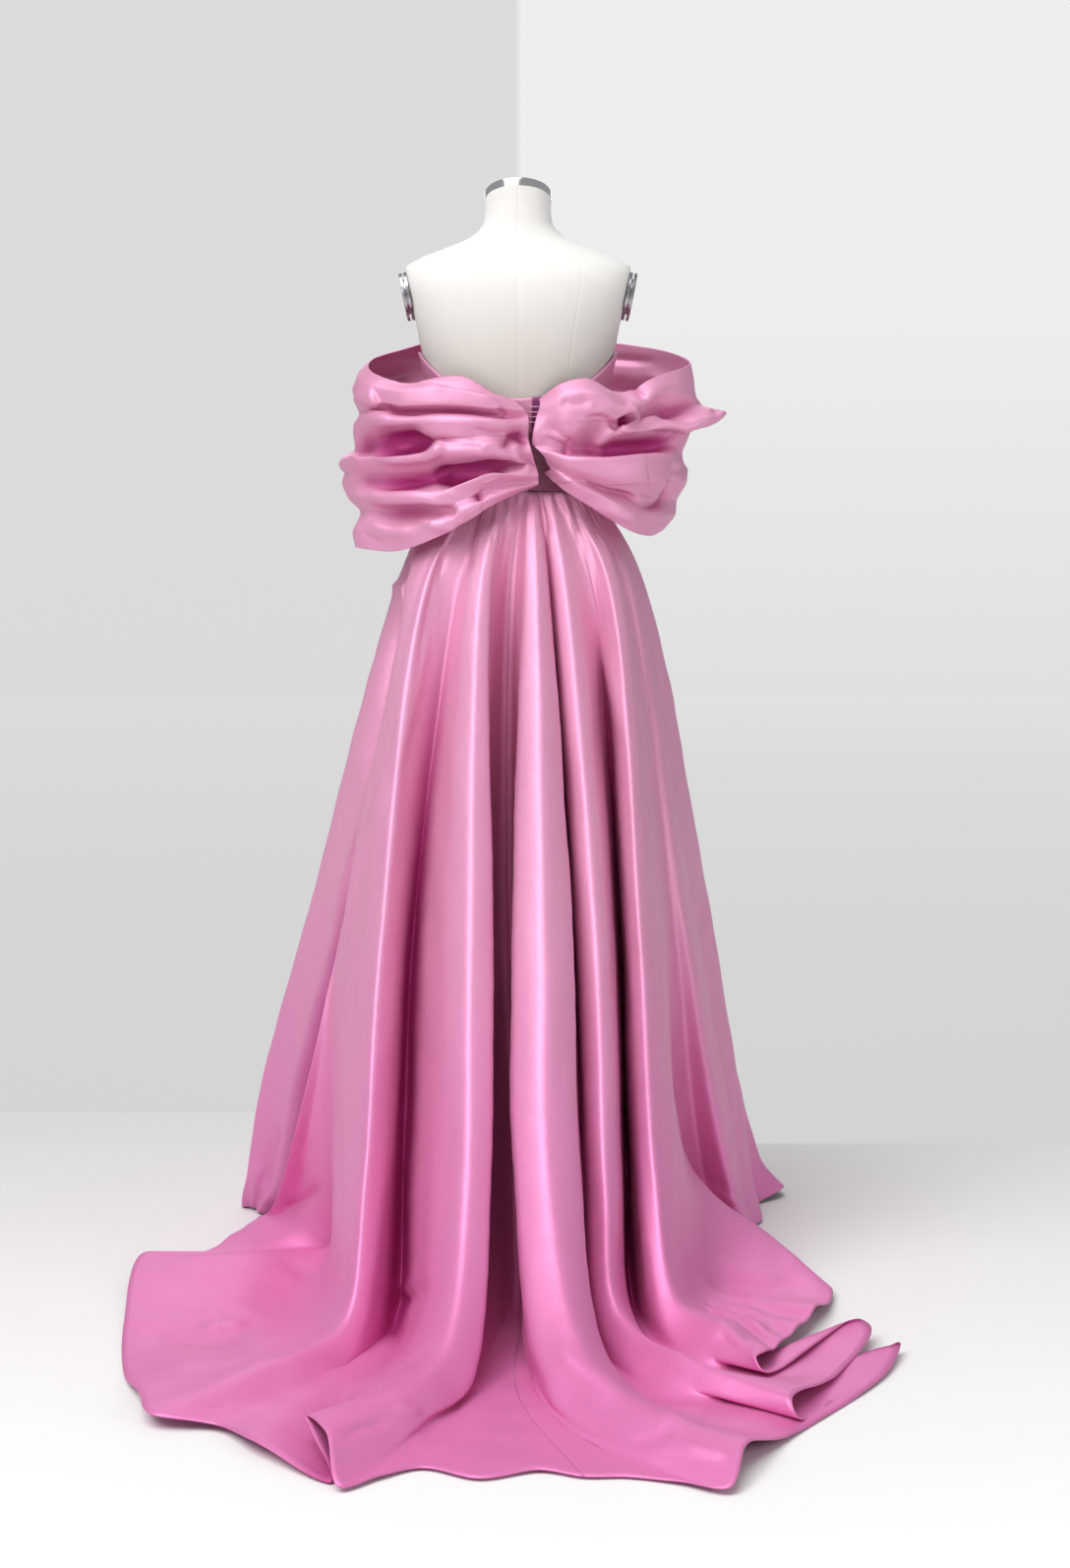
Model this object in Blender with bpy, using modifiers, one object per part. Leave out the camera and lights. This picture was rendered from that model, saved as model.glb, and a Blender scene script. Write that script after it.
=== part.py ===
"""An evening gown of heavy satin on a limbless dress form, in metres, Z up.

The floor is z = 0 and the form's pole stands on the origin. The wearer would face +Y, so the
train runs out along -Y. Turns about the pole are in degrees from the centre back: 0 is the
centre back, 90 the wearer's right side (+X), 180 the centre front.
"""

import math
from typing import NamedTuple

import bpy
import numpy as np
from mathutils import Vector

MM = 0.001

# Cloth
CLOTH = 2.0 * MM
SEAM_GAP = 0.3 * MM
SEWN_GAP = 0.4 * MM

# Dress form and its stand
NECK_TOP = 1.564
NECK_TILT = math.radians(21)
NECK_RADIUS = 0.050
CAP_THICKNESS = 0.016
FORM_BOTTOM = 0.800
FORM_SIDES = 32
ARMHOLE_HEIGHT = 1.424
ARMHOLE_TILT = math.radians(11)
ARMHOLE_FLAT = 0.1625
PLATE_RADIUS = 0.037
PLATE_DEPTH = 0.0045
PLATE_STEP = 0.007
POLE_RADIUS = 0.0175
BASE_RADIUS = 0.180
BASE_HEIGHT = 0.014

# Bodice
WAIST = 1.128
BODICE_BOTTOM = WAIST + 0.9 * MM
BODICE_OUT = 3.6 * MM
BODICE_EASE = 1.6 * MM
CLOSURE_TURNS = (8.0, 19.5)
BAR_RADIUS = 0.8 * MM
BAR_CLEARANCE = 0.8 * MM
BAR_LAP = 2.0
BAR_HEIGHTS = (1.2535, 1.2455, 1.2385, 1.2305)
UNDERLAP_OUT = 1.5 * MM
UNDERLAP_THICKNESS = 1.0 * MM
BEADED_TURNS = (6.0, 40.0)
BEADED_OUT = 5.9 * MM
BEADED_THICKNESS = 1.2 * MM
BEADED_TOP = 1.222
BEADED_FALL = 0.6 * MM


class FormSection(NamedTuple):
    """One level of the dress form, in millimetres."""

    height: float
    half_width: float
    back: float
    front: float


FORM_SECTIONS = (
    FormSection(800, 148, 90, 90),
    FormSection(812, 160, 100, 98),
    FormSection(870, 170, 108, 103),
    FormSection(935, 171, 108, 103),
    FormSection(1000, 159, 101, 98),
    FormSection(1060, 136, 90, 91),
    FormSection(1128, 113, 81, 84),
    FormSection(1180, 118, 85, 91),
    FormSection(1240, 129, 94, 106),
    FormSection(1300, 137, 101, 119),
    FormSection(1355, 150, 104, 110),
    FormSection(1400, 163, 102, 95),
    FormSection(1440, 174, 94, 79),
    FormSection(1464, 172, 82, 65),
    FormSection(1478, 152, 73, 56),
    FormSection(1494, 112, 65, 50),
    FormSection(1510, 74, 57, 47),
    FormSection(1528, 54, 52, 47),
    FormSection(1546, 50, 50, 47),
    FormSection(1564, 50, 50, 50),
)


class Top(NamedTuple):
    """How high the bodice reaches at one turn."""

    turn: float
    height: float


BODICE_TOPS = (
    Top(0, 1265),
    Top(35, 1278),
    Top(62, 1312),
    Top(82, 1336),
    Top(120, 1342),
    Top(150, 1362),
    Top(180, 1345),
)


class Fold(NamedTuple):
    """One fold line of the skirt, from the waist seam to the hem, in millimetres.

    waist is a turn in degrees on the waist seam. hip, knee and shin are the line's x and y at
    the fixed heights below, and foot, run and hem are x, y, z where it bends onto the floor,
    half way out and at the hem.
    """

    name: str
    waist: float
    hip: tuple
    knee: tuple
    shin: tuple
    foot: tuple
    run: tuple
    hem: tuple


HIP, KNEE, SHIN = 1.000, 0.500, 0.200

LEFT_SIDE_FOLDS = (
    Fold("tucked edge", -58.5, (-128, -96), (-212, -188), (-284, -205), (-335, -120, 55),
         (-368, -60, 22), (-385, -20, 3)),
    Fold("side crease", -66, (-152, -72), (-268, -120), (-345, -120), (-378, -70, 60),
         (-398, -30, 26), (-408, 5, 3)),
    Fold("side dip", -72, (-163, -48), (-290, -75), (-366, -62), (-392, -25, 60),
         (-408, 10, 26), (-416, 35, 3)),
    Fold("left outline", -80, (-183, -14), (-322, -4), (-405, -4), (-428, 14, 60),
         (-436, 30, 26), (-438, 45, 3)),
)

RIGHT_SIDE_FOLDS = (
    Fold("hem curl", 104, (184, 40), (288, 70), (350, 84), (392, 96, 60),
         (414, 104, 34), (428, 112, 16)),
    Fold("right dip", 94, (183, 14), (286, 28), (345, 36), (364, 44, 60),
         (374, 48, 26), (380, 50, 3)),
    Fold("right outline", 84, (189, -12), (294, -14), (344, -22), (366, -26, 60),
         (376, -28, 26), (382, -30, 3)),
)

BACK_RIGHT_FOLDS = (
    Fold("side seam", 74, (176, -48), (268, -84), (322, -92), (346, -90, 62),
         (356, -86, 26), (362, -82, 3)),
    Fold("right side pleat", 66, (166, -88), (246, -190), (294, -204), (324, -176, 70),
         (340, -150, 28), (346, -128, 3)),
    Fold("hollow behind the wing", 60, (158, -98), (228, -196), (262, -186), (286, -152, 70),
         (304, -140, 24), (318, -140, 4)),
    Fold("under the wing", 56, (152, -110), (216, -236), (236, -226), (262, -206, 84),
         (322, -232, 28), (402, -352, 4)),
    Fold("right wing crease", 52, (150, -122), (212, -262), (232, -278), (278, -238, 104),
         (356, -276, 52), (440, -428, 8)),
    Fold("right wing", 49, (148, -130), (206, -290), (232, -372), (276, -400, 40),
         (350, -460, 12), (438, -495, 8)),
    Fold("wing's first wave", 46.5, (147, -134), (203, -304), (229, -404), (266, -460, 32),
         (330, -530, 16), (424, -540, 34)),
    Fold("wing's first notch", 44.5, (146, -136), (200, -316), (226, -424), (256, -496, 30),
         (319, -570, 7), (396, -570, 5)),
    Fold("wing's second wave", 43, (145, -138), (197, -326), (222, -440), (249, -522, 31),
         (313, -597, 16), (462, -574, 28)),
    Fold("wing's second notch", 41.5, (144, -140), (194, -334), (218, -454), (244, -545, 32),
         (306, -618, 8), (442, -618, 5)),
    Fold("wing's third wave", 40.3, (143, -141), (191, -342), (214, -468), (240, -563, 34),
         (300, -640, 20), (508, -650, 28)),
    Fold("wing's near side", 39.2, (142, -142), (189, -350), (210, -480), (236, -580, 36),
         (291, -658, 12), (492, -706, 5)),
    Fold("fourth tube, outer side", 38, (140, -144), (186, -358), (205, -492), (229, -602, 42),
         (280, -686, 30), (436, -748, 16)),
    Fold("fourth tube, crest", 35.5, (132, -150), (172, -376), (186, -524), (211, -660, 54),
         (258, -742, 46), (396, -792, 34)),
    Fold("fourth tube, inner side", 33, (122, -140), (157, -350), (166, -500), (193, -690, 26),
         (238, -776, 17), (386, -816, 9)),
    Fold("third valley", 28, (108, -129), (149, -205), (156, -300), (160, -520, 6),
         (224, -808, 5), (438, -852, 5)),
    Fold("third valley, near side", 25.5, (100, -131), (142, -250), (148, -390), (154, -570, 10),
         (222, -824, 9), (434, -868, 6)),
    Fold("third tube, outer side", 23.5, (82, -150), (128, -392), (134, -566), (148, -652, 44),
         (224, -840, 26), (428, -882, 12)),
    Fold("third tube, crest", 20.5, (68, -160), (109, -412), (117, -590), (132, -700, 56),
         (216, -864, 42), (374, -930, 34)),
    Fold("third tube, inner side", 18, (54, -152), (88, -392), (98, -566), (114, -720, 28),
         (206, -894, 17), (352, -962, 9)),
    Fold("second valley", 15, (46, -134), (76, -320), (88, -510), (100, -700, 6),
         (214, -930, 5), (330, -990, 4)),
    Fold("second valley, near side", 13.3, (44, -148), (75, -400), (83, -600), (106, -790, 18),
         (210, -968, 8), (312, -1030, 4)),
    Fold("second tube, outer side", 11.5, (42, -164), (74, -440), (81, -652), (114, -858, 40),
         (206, -1032, 22), (282, -1086, 14)),
    Fold("second tube, crest", 8.5, (27, -176), (35, -478), (40, -694), (88, -930, 54),
         (184, -1096, 40), (262, -1160, 34)),
    Fold("second tube, inner side", 6, (10, -168), (-8, -444), (-4, -660), (44, -956, 18),
         (150, -1136, 16), (236, -1234, 10)),
    Fold("under the second tube", 4.5, (3, -138), (5, -290), (14, -470), (9, -790, 22),
         (60, -1020, 6), (180, -1200, 5)),
    Fold("floor fan, right", 3, (-4, -125), (-5, -190), (11, -303), (14, -540, 4),
         (14, -900, 4), (124, -1180, 4)),
)

BACK_LEFT_FOLDS = (
    Fold("centre back seam", 2, (-11, -124), (-16, -187), (-1, -300), (3, -540, 4),
         (0, -900, 4), (74, -1180, 4)),
    Fold("floor fan, middle", 1, (-18, -125), (-28, -190), (-14, -303), (-9, -540, 4),
         (-16, -900, 4), (24, -1160, 5)),
    Fold("floor fan, left", -0.5, (-25, -134), (-44, -256), (-44, -416), (-38, -690, 4),
         (-34, -940, 4), (-46, -1186, 4)),
    Fold("floor fan, far left", -2.5, (-31, -144), (-50, -340), (-54, -540), (-58, -800, 4),
         (-82, -975, 4), (-112, -1150, 5)),
    Fold("under the first tube", -5, (-36, -156), (-48, -390), (-54, -600), (-64, -850, 13),
         (-106, -1005, 11), (-156, -1180, 6)),
    Fold("first tube, inner side", -8, (-42, -168), (-35, -440), (-37, -652), (-56, -888, 22),
         (-114, -1030, 20), (-202, -1224, 13)),
    Fold("first tube, crest", -12, (-55, -172), (-67, -462), (-70, -676), (-92, -872, 58),
         (-146, -1004, 44), (-224, -1160, 38)),
    Fold("first tube, outer side", -16, (-70, -162), (-98, -430), (-102, -626), (-124, -800, 46),
         (-180, -950, 26), (-250, -1070, 30)),
    Fold("first valley, right side", -20, (-78, -146), (-128, -350), (-136, -516),
         (-148, -700, 18), (-212, -880, 10), (-296, -1024, 14)),
    Fold("first valley", -24, (-88, -136), (-152, -284), (-162, -420), (-168, -590, 6),
         (-232, -826, 6), (-342, -982, 6)),
    Fold("outer tube, inner side", -28, (-124, -148), (-172, -388), (-184, -560),
         (-210, -715, 18), (-270, -864, 14), (-384, -984, 16)),
    Fold("outer tube, crest", -31.5, (-132, -156), (-192, -416), (-208, -590),
         (-228, -706, 42), (-298, -842, 32), (-442, -1006, 20)),
    Fold("outer tube, outer side", -35, (-139, -146), (-212, -382), (-230, -530),
         (-250, -630, 36), (-336, -762, 14), (-470, -912, 16)),
    Fold("left wing, near side", -38.5, (-146, -138), (-226, -342), (-248, -462),
         (-272, -530, 18), (-384, -650, 6), (-500, -822, 5)),
    Fold("left wing", -42, (-151, -130), (-238, -310), (-262, -392), (-284, -420, 16),
         (-410, -500, 8), (-535, -590, 5)),
    Fold("left wing crease", -45.5, (-155, -122), (-246, -288), (-272, -322), (-272, -286, 34),
         (-402, -276, 20), (-546, -268, 16)),
    Fold("under the left wing", -48.5, (-158, -116), (-250, -272), (-280, -296),
         (-286, -262, 24), (-388, -262, 7), (-505, -258, 5)),
    Fold("left triangle", -51, (-161, -110), (-254, -258), (-292, -276), (-318, -220, 46),
         (-392, -216, 12), (-464, -222, 4)),
    Fold("hollow by the edge", -53.5, (-163, -106), (-256, -246), (-306, -264),
         (-344, -180, 52), (-398, -142, 20), (-436, -128, 3)),
    Fold("back panel's edge", -56, (-168, -102), (-258, -238), (-326, -268), (-372, -164, 54),
         (-398, -104, 24), (-414, -60, 3)),
)

# The hidden front hangs in plain soft pleats between these turns
FRONT_TURNS = (118.0, 262.0)
FRONT_PLEATS = 5
FRONT_SWING = (0.9, 1.15, 0.8, 1.1, 0.95)


class Ring(NamedTuple):
    """The skirt's plain oval at one level, in millimetres."""

    height: float
    half_width: float
    front: float
    swing: float


FRONT_RINGS = (
    Ring(1000, 184, 132, 3),
    Ring(500, 300, 250, 14),
    Ring(200, 372, 336, 20),
    Ring(60, 398, 372, 24),
    Ring(26, 408, 384, 26),
    Ring(3, 416, 394, 28),
)


class DrapeFold(NamedTuple):
    """One fold line round a drape, in millimetres.

    reach is its distance from the pole and height its height, at its start and then at each
    of the drape's turns. A reach of zero lies on the bodice.
    """

    name: str
    reach: tuple
    height: tuple


LEFT_TURNS = (-14, -38, -60, -78, -98, -125, -152, -179.8)
LEFT_DRAPE = (
    DrapeFold("top edge", (0, 124, 138, 188, 220, 232, 240, 210, 146),
              (1265, 1272, 1299, 1289, 1299, 1322, 1352, 1368, 1350)),
    DrapeFold("top roll", (122, 142, 164, 206, 238, 248, 256, 228, 160),
              (1258, 1263, 1280, 1277, 1290, 1309, 1344, 1362, 1342)),
    DrapeFold("upper face", (125, 147, 173, 210, 244, 251, 260, 236, 168),
              (1249, 1249, 1254, 1253, 1266, 1272, 1306, 1326, 1308)),
    DrapeFold("first dip", (119, 130, 148, 186, 228, 244, 248, 220, 152),
              (1241, 1237, 1240, 1241, 1248, 1248, 1282, 1298, 1282)),
    DrapeFold("second roll", (128, 151, 178, 214, 240, 254, 266, 236, 167),
              (1230, 1229, 1232, 1232, 1236, 1232, 1262, 1278, 1264)),
    DrapeFold("pocket", (114, 148, 162, 160, 224, 262, 256, 222, 154),
              (1207, 1205, 1206, 1200, 1205, 1204, 1236, 1254, 1242)),
    DrapeFold("third roll", (128, 154, 184, 216, 256, 280, 268, 234, 163),
              (1187, 1183, 1187, 1180, 1180, 1176, 1212, 1232, 1222)),
    DrapeFold("second dip", (116, 127, 148, 176, 232, 275, 254, 218, 150),
              (1169, 1169, 1154, 1140, 1148, 1142, 1180, 1206, 1202)),
    DrapeFold("fourth roll", (128, 156, 190, 220, 248, 262, 252, 220, 152),
              (1152, 1152, 1130, 1117, 1121, 1120, 1154, 1182, 1184)),
    DrapeFold("third dip", (119, 136, 177, 197, 234, 240, 238, 206, 140),
              (1144, 1135, 1104, 1099, 1100, 1100, 1134, 1164, 1170)),
    DrapeFold("hanging flap", (118, 150, 193, 217, 251, 249, 240, 204, 136),
              (1140, 1120, 1080, 1070, 1068, 1070, 1114, 1148, 1160)),
    DrapeFold("lower edge", (0, 142, 187, 208, 248, 240, 230, 196, 126),
              (1136, 1110, 1063, 1040, 1044, 1048, 1096, 1138, 1150)),
)

RIGHT_TURNS = (29, 43, 56, 70, 84, 100, 126, 152, 179.8)
RIGHT_DRAPE = (
    DrapeFold("top edge", (0, 134, 152, 180, 218, 240, 246, 248, 212, 146),
              (1264, 1287, 1294, 1274, 1300, 1326, 1346, 1368, 1368, 1350)),
    DrapeFold("puff", (126, 158, 181, 200, 234, 268, 270, 266, 232, 160),
              (1254, 1270, 1270, 1252, 1284, 1279, 1300, 1338, 1352, 1338)),
    DrapeFold("puff's lower side", (123, 160, 178, 184, 210, 278, 268, 258, 224, 154),
              (1240, 1234, 1238, 1228, 1242, 1257, 1266, 1302, 1318, 1304)),
    DrapeFold("ledge", (127, 158, 158, 204, 236, 318, 294, 268, 236, 167),
              (1214, 1206, 1210, 1216, 1224, 1247, 1243, 1272, 1292, 1280)),
    DrapeFold("shadowed dip", (117, 142, 138, 160, 198, 258, 256, 244, 216, 154),
              (1197, 1190, 1190, 1192, 1194, 1204, 1210, 1242, 1262, 1254)),
    DrapeFold("band's edge", (128, 164, 190, 212, 235, 248, 251, 256, 230, 163),
              (1188, 1180, 1176, 1179, 1184, 1187, 1190, 1218, 1240, 1234)),
    DrapeFold("band", (127, 162, 192, 215, 238, 256, 257, 252, 222, 156),
              (1179, 1165, 1151, 1146, 1146, 1144, 1147, 1180, 1210, 1210)),
    DrapeFold("crease", (120, 149, 174, 196, 214, 238, 244, 238, 208, 145),
              (1170, 1153, 1137, 1127, 1120, 1116, 1120, 1154, 1188, 1192)),
    DrapeFold("lower roll", (124, 160, 188, 208, 226, 238, 240, 236, 206, 140),
              (1162, 1142, 1120, 1098, 1094, 1092, 1096, 1130, 1168, 1176)),
    DrapeFold("lower edge", (0, 146, 174, 196, 209, 220, 222, 226, 196, 128),
              (1156, 1128, 1098, 1072, 1061, 1069, 1074, 1100, 1142, 1156)),
)

# Where each fold line of a drape starts beside the closure, in degrees from the centre back
LEFT_STARTS = (1, 3, 6, 8, 7, 8, 9, 12.5, 13.5, 14.5, 15, 16)
RIGHT_STARTS = (19, 15, 13.5, 10, 10.5, 14, 18, 21, 23, 24)

# Samples between one station of a fold line and the next, and between one line and the next
SKIRT_ALONG = (2, 3, 3, 3, 3, 3)
SKIRT_ACROSS = 2
DRAPE_ALONG = 2
DRAPE_ACROSS = 2

INK = {
    "satin": ((0.78, 0.27, 0.55), 0.32, 0.0),
    "beaded satin": ((0.16, 0.03, 0.09), 0.45, 0.0),
    "underlap": ((0.20, 0.03, 0.12), 0.60, 0.0),
    "linen": ((0.80, 0.76, 0.70), 0.85, 0.0),
    "chrome": ((0.72, 0.73, 0.75), 0.18, 1.0),
    "painted steel": ((0.16, 0.16, 0.17), 0.50, 0.6),
    "hook elastic": ((0.86, 0.58, 0.74), 0.55, 0.0),
}


def clear_scene():
    """Remove the objects that the file opened with."""
    for old in list(bpy.data.objects):
        bpy.data.objects.remove(old, do_unlink=True)


def collection_for(name):
    """Make the collection that holds the object's parts."""
    made = bpy.data.collections.new(name)
    bpy.context.scene.collection.children.link(made)
    return made


def finish_for(name):
    """Return the material of this name, made from the table of inks."""
    found = bpy.data.materials.get(name)
    if found:
        return found
    colour, roughness, metallic = INK[name]
    made = bpy.data.materials.new(name)
    made.use_nodes = True
    shader = made.node_tree.nodes["Principled BSDF"]
    shader.inputs["Base Color"].default_value = (*colour, 1.0)
    shader.inputs["Roughness"].default_value = roughness
    shader.inputs["Metallic"].default_value = metallic
    return made


def add_part(parts, name, mesh, finish, smooth=True):
    """Put a mesh in the scene as a named part with its finish."""
    made = bpy.data.objects.new(name, mesh)
    made.data.materials.clear()
    made.data.materials.append(finish_for(finish))
    parts.objects.link(made)
    if smooth and isinstance(mesh, bpy.types.Mesh):
        mesh.shade_smooth()
    return made


def spline(points, counts):
    """Run a centripetal Catmull-Rom curve through points, with counts[i] steps in span i.

    points has the shape (n, ..., 3): every curve of the middle axes is run at once.
    """
    points = np.asarray(points, dtype=float)
    ends = np.concatenate([[2 * points[0] - points[1]], points, [2 * points[-1] - points[-2]]])
    steps = np.linalg.norm(np.diff(ends, axis=0), axis=-1, keepdims=True)
    steps = np.sqrt(np.maximum(steps, 1e-6))
    out = []
    for span, count in enumerate(counts):
        p0, p1, p2, p3 = ends[span:span + 4]
        t1 = steps[span]
        t2 = t1 + steps[span + 1]
        t3 = t2 + steps[span + 2]
        for k in range(count):
            t = t1 + (t2 - t1) * (k / count)
            a1 = (t1 - t) / t1 * p0 + t / t1 * p1
            a2 = (t2 - t) / (t2 - t1) * p1 + (t - t1) / (t2 - t1) * p2
            a3 = (t3 - t) / (t3 - t2) * p2 + (t - t2) / (t3 - t2) * p3
            b1 = (t2 - t) / t2 * a1 + t / t2 * a2
            b2 = (t3 - t) / (t3 - t1) * a2 + (t - t1) / (t3 - t1) * a3
            out.append((t2 - t) / (t2 - t1) * b1 + (t - t1) / (t2 - t1) * b2)
    out.append(points[-1])
    return np.array(out)


def smooth_table(rows, key, value):
    """Return a function that reads a value from a table's rows, smoothly between them."""
    knots = np.array([[key(row), value(row), 0.0] for row in rows], dtype=float)
    fine = spline(knots, [6] * (len(knots) - 1))

    def read(at):
        return float(np.interp(at, fine[:, 0], fine[:, 1]))

    return read


HALF_WIDTH = smooth_table(FORM_SECTIONS, lambda r: r.height * MM, lambda r: r.half_width * MM)
BACK_DEPTH = smooth_table(FORM_SECTIONS, lambda r: r.height * MM, lambda r: r.back * MM)
FRONT_DEPTH = smooth_table(FORM_SECTIONS, lambda r: r.height * MM, lambda r: r.front * MM)
BODICE_TOP = smooth_table(BODICE_TOPS, lambda r: r.turn, lambda r: r.height * MM)


def oval_point(turn, height):
    """The form's outline in plan at a turn and height, before its armholes are cut flat."""
    side = math.sin(math.radians(turn))
    ahead = -math.cos(math.radians(turn))
    depth = FRONT_DEPTH(height) if ahead > 0 else BACK_DEPTH(height)
    full = 0.92
    x = HALF_WIDTH(height) * math.copysign(abs(side) ** full, side)
    y = depth * math.copysign(abs(ahead) ** full, ahead)
    return np.array([x, y])


def form_point(turn, height, out=0.0):
    """A point on the form, or out from it by that much, at a turn and height."""
    before, after = oval_point(turn - 2.0, height), oval_point(turn + 2.0, height)
    along = after - before
    outward = np.array([-along[1], along[0]])
    if outward @ after < 0:
        outward = -outward
    x, y = oval_point(turn, height) + outward / np.linalg.norm(outward) * out
    flat = ARMHOLE_FLAT + math.tan(ARMHOLE_TILT) * (height - ARMHOLE_HEIGHT)
    if out == 0.0 and height > ARMHOLE_HEIGHT - 0.06:
        x = min(max(x, -flat), flat)
    return np.array([x, y, height])


def reach_on_bodice(turn, height, out):
    """How far from the pole the form's surface, moved out, lies in the direction of a turn."""
    best = None
    for step in range(-40, 41):
        point = form_point(turn + step * 0.5, height, out)
        bearing = math.degrees(math.atan2(point[0], -point[1]))
        miss = abs((bearing - turn + 180) % 360 - 180)
        if best is None or miss < best[0]:
            best = (miss, math.hypot(point[0], point[1]))
    return best[1]


def mesh_from_grid(name, grid, closed=False):
    """Make an open surface from a grid of points; closed joins its last column to the first."""
    columns, rows = grid.shape[:2]
    mesh = bpy.data.meshes.new(name)
    faces = []
    for c in range(columns if closed else columns - 1):
        after = (c + 1) % columns
        for r in range(rows - 1):
            faces.append((c * rows + r, after * rows + r, after * rows + r + 1, c * rows + r + 1))
    mesh.from_pydata(grid.reshape(-1, 3).tolist(), [], faces)
    mesh.update()
    return mesh


def add_sheet(parts, name, grid, finish="satin", thickness=CLOTH):
    """Make a wall of cloth with its middle on a grid of points."""
    made = add_part(parts, name, mesh_from_grid(name, grid), finish)
    wall = made.modifiers.new("wall", "SOLIDIFY")
    wall.thickness = thickness
    wall.offset = 0.0
    return made


def draw_in(grid, start=SEAM_GAP, end=SEAM_GAP):
    """Draw a panel's first and last columns in by the seam's gap."""
    grid = grid.copy()
    for edge, inner, gap in ((0, 1, start), (-1, -2, end)):
        away = grid[inner] - grid[edge]
        far = np.linalg.norm(away, axis=1, keepdims=True)
        grid[edge] += away * np.minimum(gap / np.maximum(far, 1e-6), 0.4)
    return grid


def add_dress_form(parts):
    """Make the smooth torso with its neck, flat at the armholes and under the hips."""
    heights = [row.height * MM for row in FORM_SECTIONS]
    turns = [360.0 * k / FORM_SIDES for k in range(FORM_SIDES)]
    levels = []
    for low, high in zip(heights, heights[1:]):
        levels.append(low)
        if WAIST <= low < 1.29:
            levels.append((low + high) / 2)
    levels.append(heights[-1])
    grid = np.array([[form_point(turn, level) for level in levels] for turn in turns])
    lean = np.clip((grid[:, :, 2] - 1.53) / (NECK_TOP - 1.53), 0, 1)
    grid[:, :, 2] -= lean * math.tan(NECK_TILT) * grid[:, :, 1]
    mesh = mesh_from_grid("dress_form", grid, closed=True)
    ends = (0, len(levels) - 1)
    points = [v.co.copy() for v in mesh.vertices]
    faces = [tuple(p.vertices) for p in mesh.polygons]
    bottom = [c * len(levels) + ends[0] for c in range(FORM_SIDES)]
    top = [c * len(levels) + ends[1] for c in range(FORM_SIDES)]
    mesh.clear_geometry()
    mesh.from_pydata(points, [], faces + [tuple(reversed(bottom)), tuple(top)])
    mesh.update()
    return add_part(parts, "dress_form", mesh, "linen")


def add_turned(parts, name, profile, finish, sides=40):
    """Turn a closed profile of radius and height about the Z axis, outer side downwards."""
    mesh = bpy.data.meshes.new(name)
    points = [(radius, 0.0, height) for radius, height in profile]
    mesh.from_pydata(points, [(k, k + 1) for k in range(len(points) - 1)], [])
    made = add_part(parts, name, mesh, finish, smooth=False)
    turn = made.modifiers.new("turn", "SCREW")
    turn.steps = sides
    turn.render_steps = sides
    turn.use_merge_vertices = True
    turn.merge_threshold = 0.0001
    turn.use_smooth_shade = False
    return made


def add_neck_cap(parts):
    """Seat the tilted metal cap on the neck."""
    radius = NECK_RADIUS + 0.0005
    profile = (
        (0.0, CAP_THICKNESS),
        (radius - 0.0035, CAP_THICKNESS),
        (radius, CAP_THICKNESS - 0.0035),
        (radius, 0.0),
        (0.0, 0.0),
    )
    made = add_turned(parts, "neck_cap", profile, "chrome")
    made.location = (0.0, 0.0, NECK_TOP + 0.4 * MM)
    made.rotation_euler = (-NECK_TILT, 0.0, 0.0)
    return made


def add_arm_plate(parts, name, side):
    """Seat a stepped metal plate on one flat armhole; side is 1 on the right, -1 on the left."""
    rim = PLATE_RADIUS
    profile = (
        (0.0, PLATE_DEPTH + PLATE_STEP),
        (rim - 0.003, PLATE_DEPTH + PLATE_STEP),
        (rim, PLATE_STEP + 0.0025),
        (rim - 0.002, PLATE_STEP),
        (rim - 0.010, PLATE_STEP),
        (rim - 0.010, PLATE_DEPTH),
        (rim - 0.001, PLATE_DEPTH),
        (rim + 0.001, 0.0),
        (0.0, 0.0),
    )
    made = add_turned(parts, name, profile, "chrome", sides=28)
    made.location = (side * (ARMHOLE_FLAT + 0.4 * MM), -0.004, ARMHOLE_HEIGHT)
    made.rotation_euler = (0.0, side * (math.pi / 2 + ARMHOLE_TILT), 0.0)
    return made


def add_stand(parts):
    """Make the round base and the pole that carry the form."""
    base = (
        (0.0, BASE_HEIGHT),
        (BASE_RADIUS - 0.012, BASE_HEIGHT),
        (BASE_RADIUS - 0.003, BASE_HEIGHT - 0.004),
        (BASE_RADIUS, BASE_HEIGHT - 0.008),
        (BASE_RADIUS, 0.0),
        (0.0, 0.0),
    )
    add_turned(parts, "stand_base", base, "painted steel", sides=48)
    low, high = BASE_HEIGHT + 0.3 * MM, FORM_BOTTOM - 0.3 * MM
    pole = (
        (0.0, high),
        (0.055, high),
        (0.055, high - 0.008),
        (POLE_RADIUS + 0.008, high - 0.012),
        (POLE_RADIUS + 0.008, high - 0.050),
        (POLE_RADIUS, high - 0.053),
        (POLE_RADIUS, low + 0.075),
        (POLE_RADIUS + 0.007, low + 0.070),
        (POLE_RADIUS + 0.010, low + 0.022),
        (0.048, low + 0.006),
        (0.048, low),
        (0.0, low),
    )
    add_turned(parts, "stand_pole", pole, "painted steel", sides=24)


def bodice_grid(first, last, columns, rows, out=BODICE_OUT, top=None):
    """Points of the bodice between two turns, from its bottom edge up to its top edge."""
    lines = []
    for turn in np.linspace(first, last, columns):
        from_back = abs((turn + 180) % 360 - 180)
        high = (top or BODICE_TOP)(from_back)
        line = []
        for height in np.linspace(BODICE_BOTTOM, high, rows):
            ease = BODICE_EASE * (height - BODICE_BOTTOM) / (high - BODICE_BOTTOM)
            line.append(form_point(turn, height, out + ease))
        lines.append(line)
    return np.array(lines)


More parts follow.
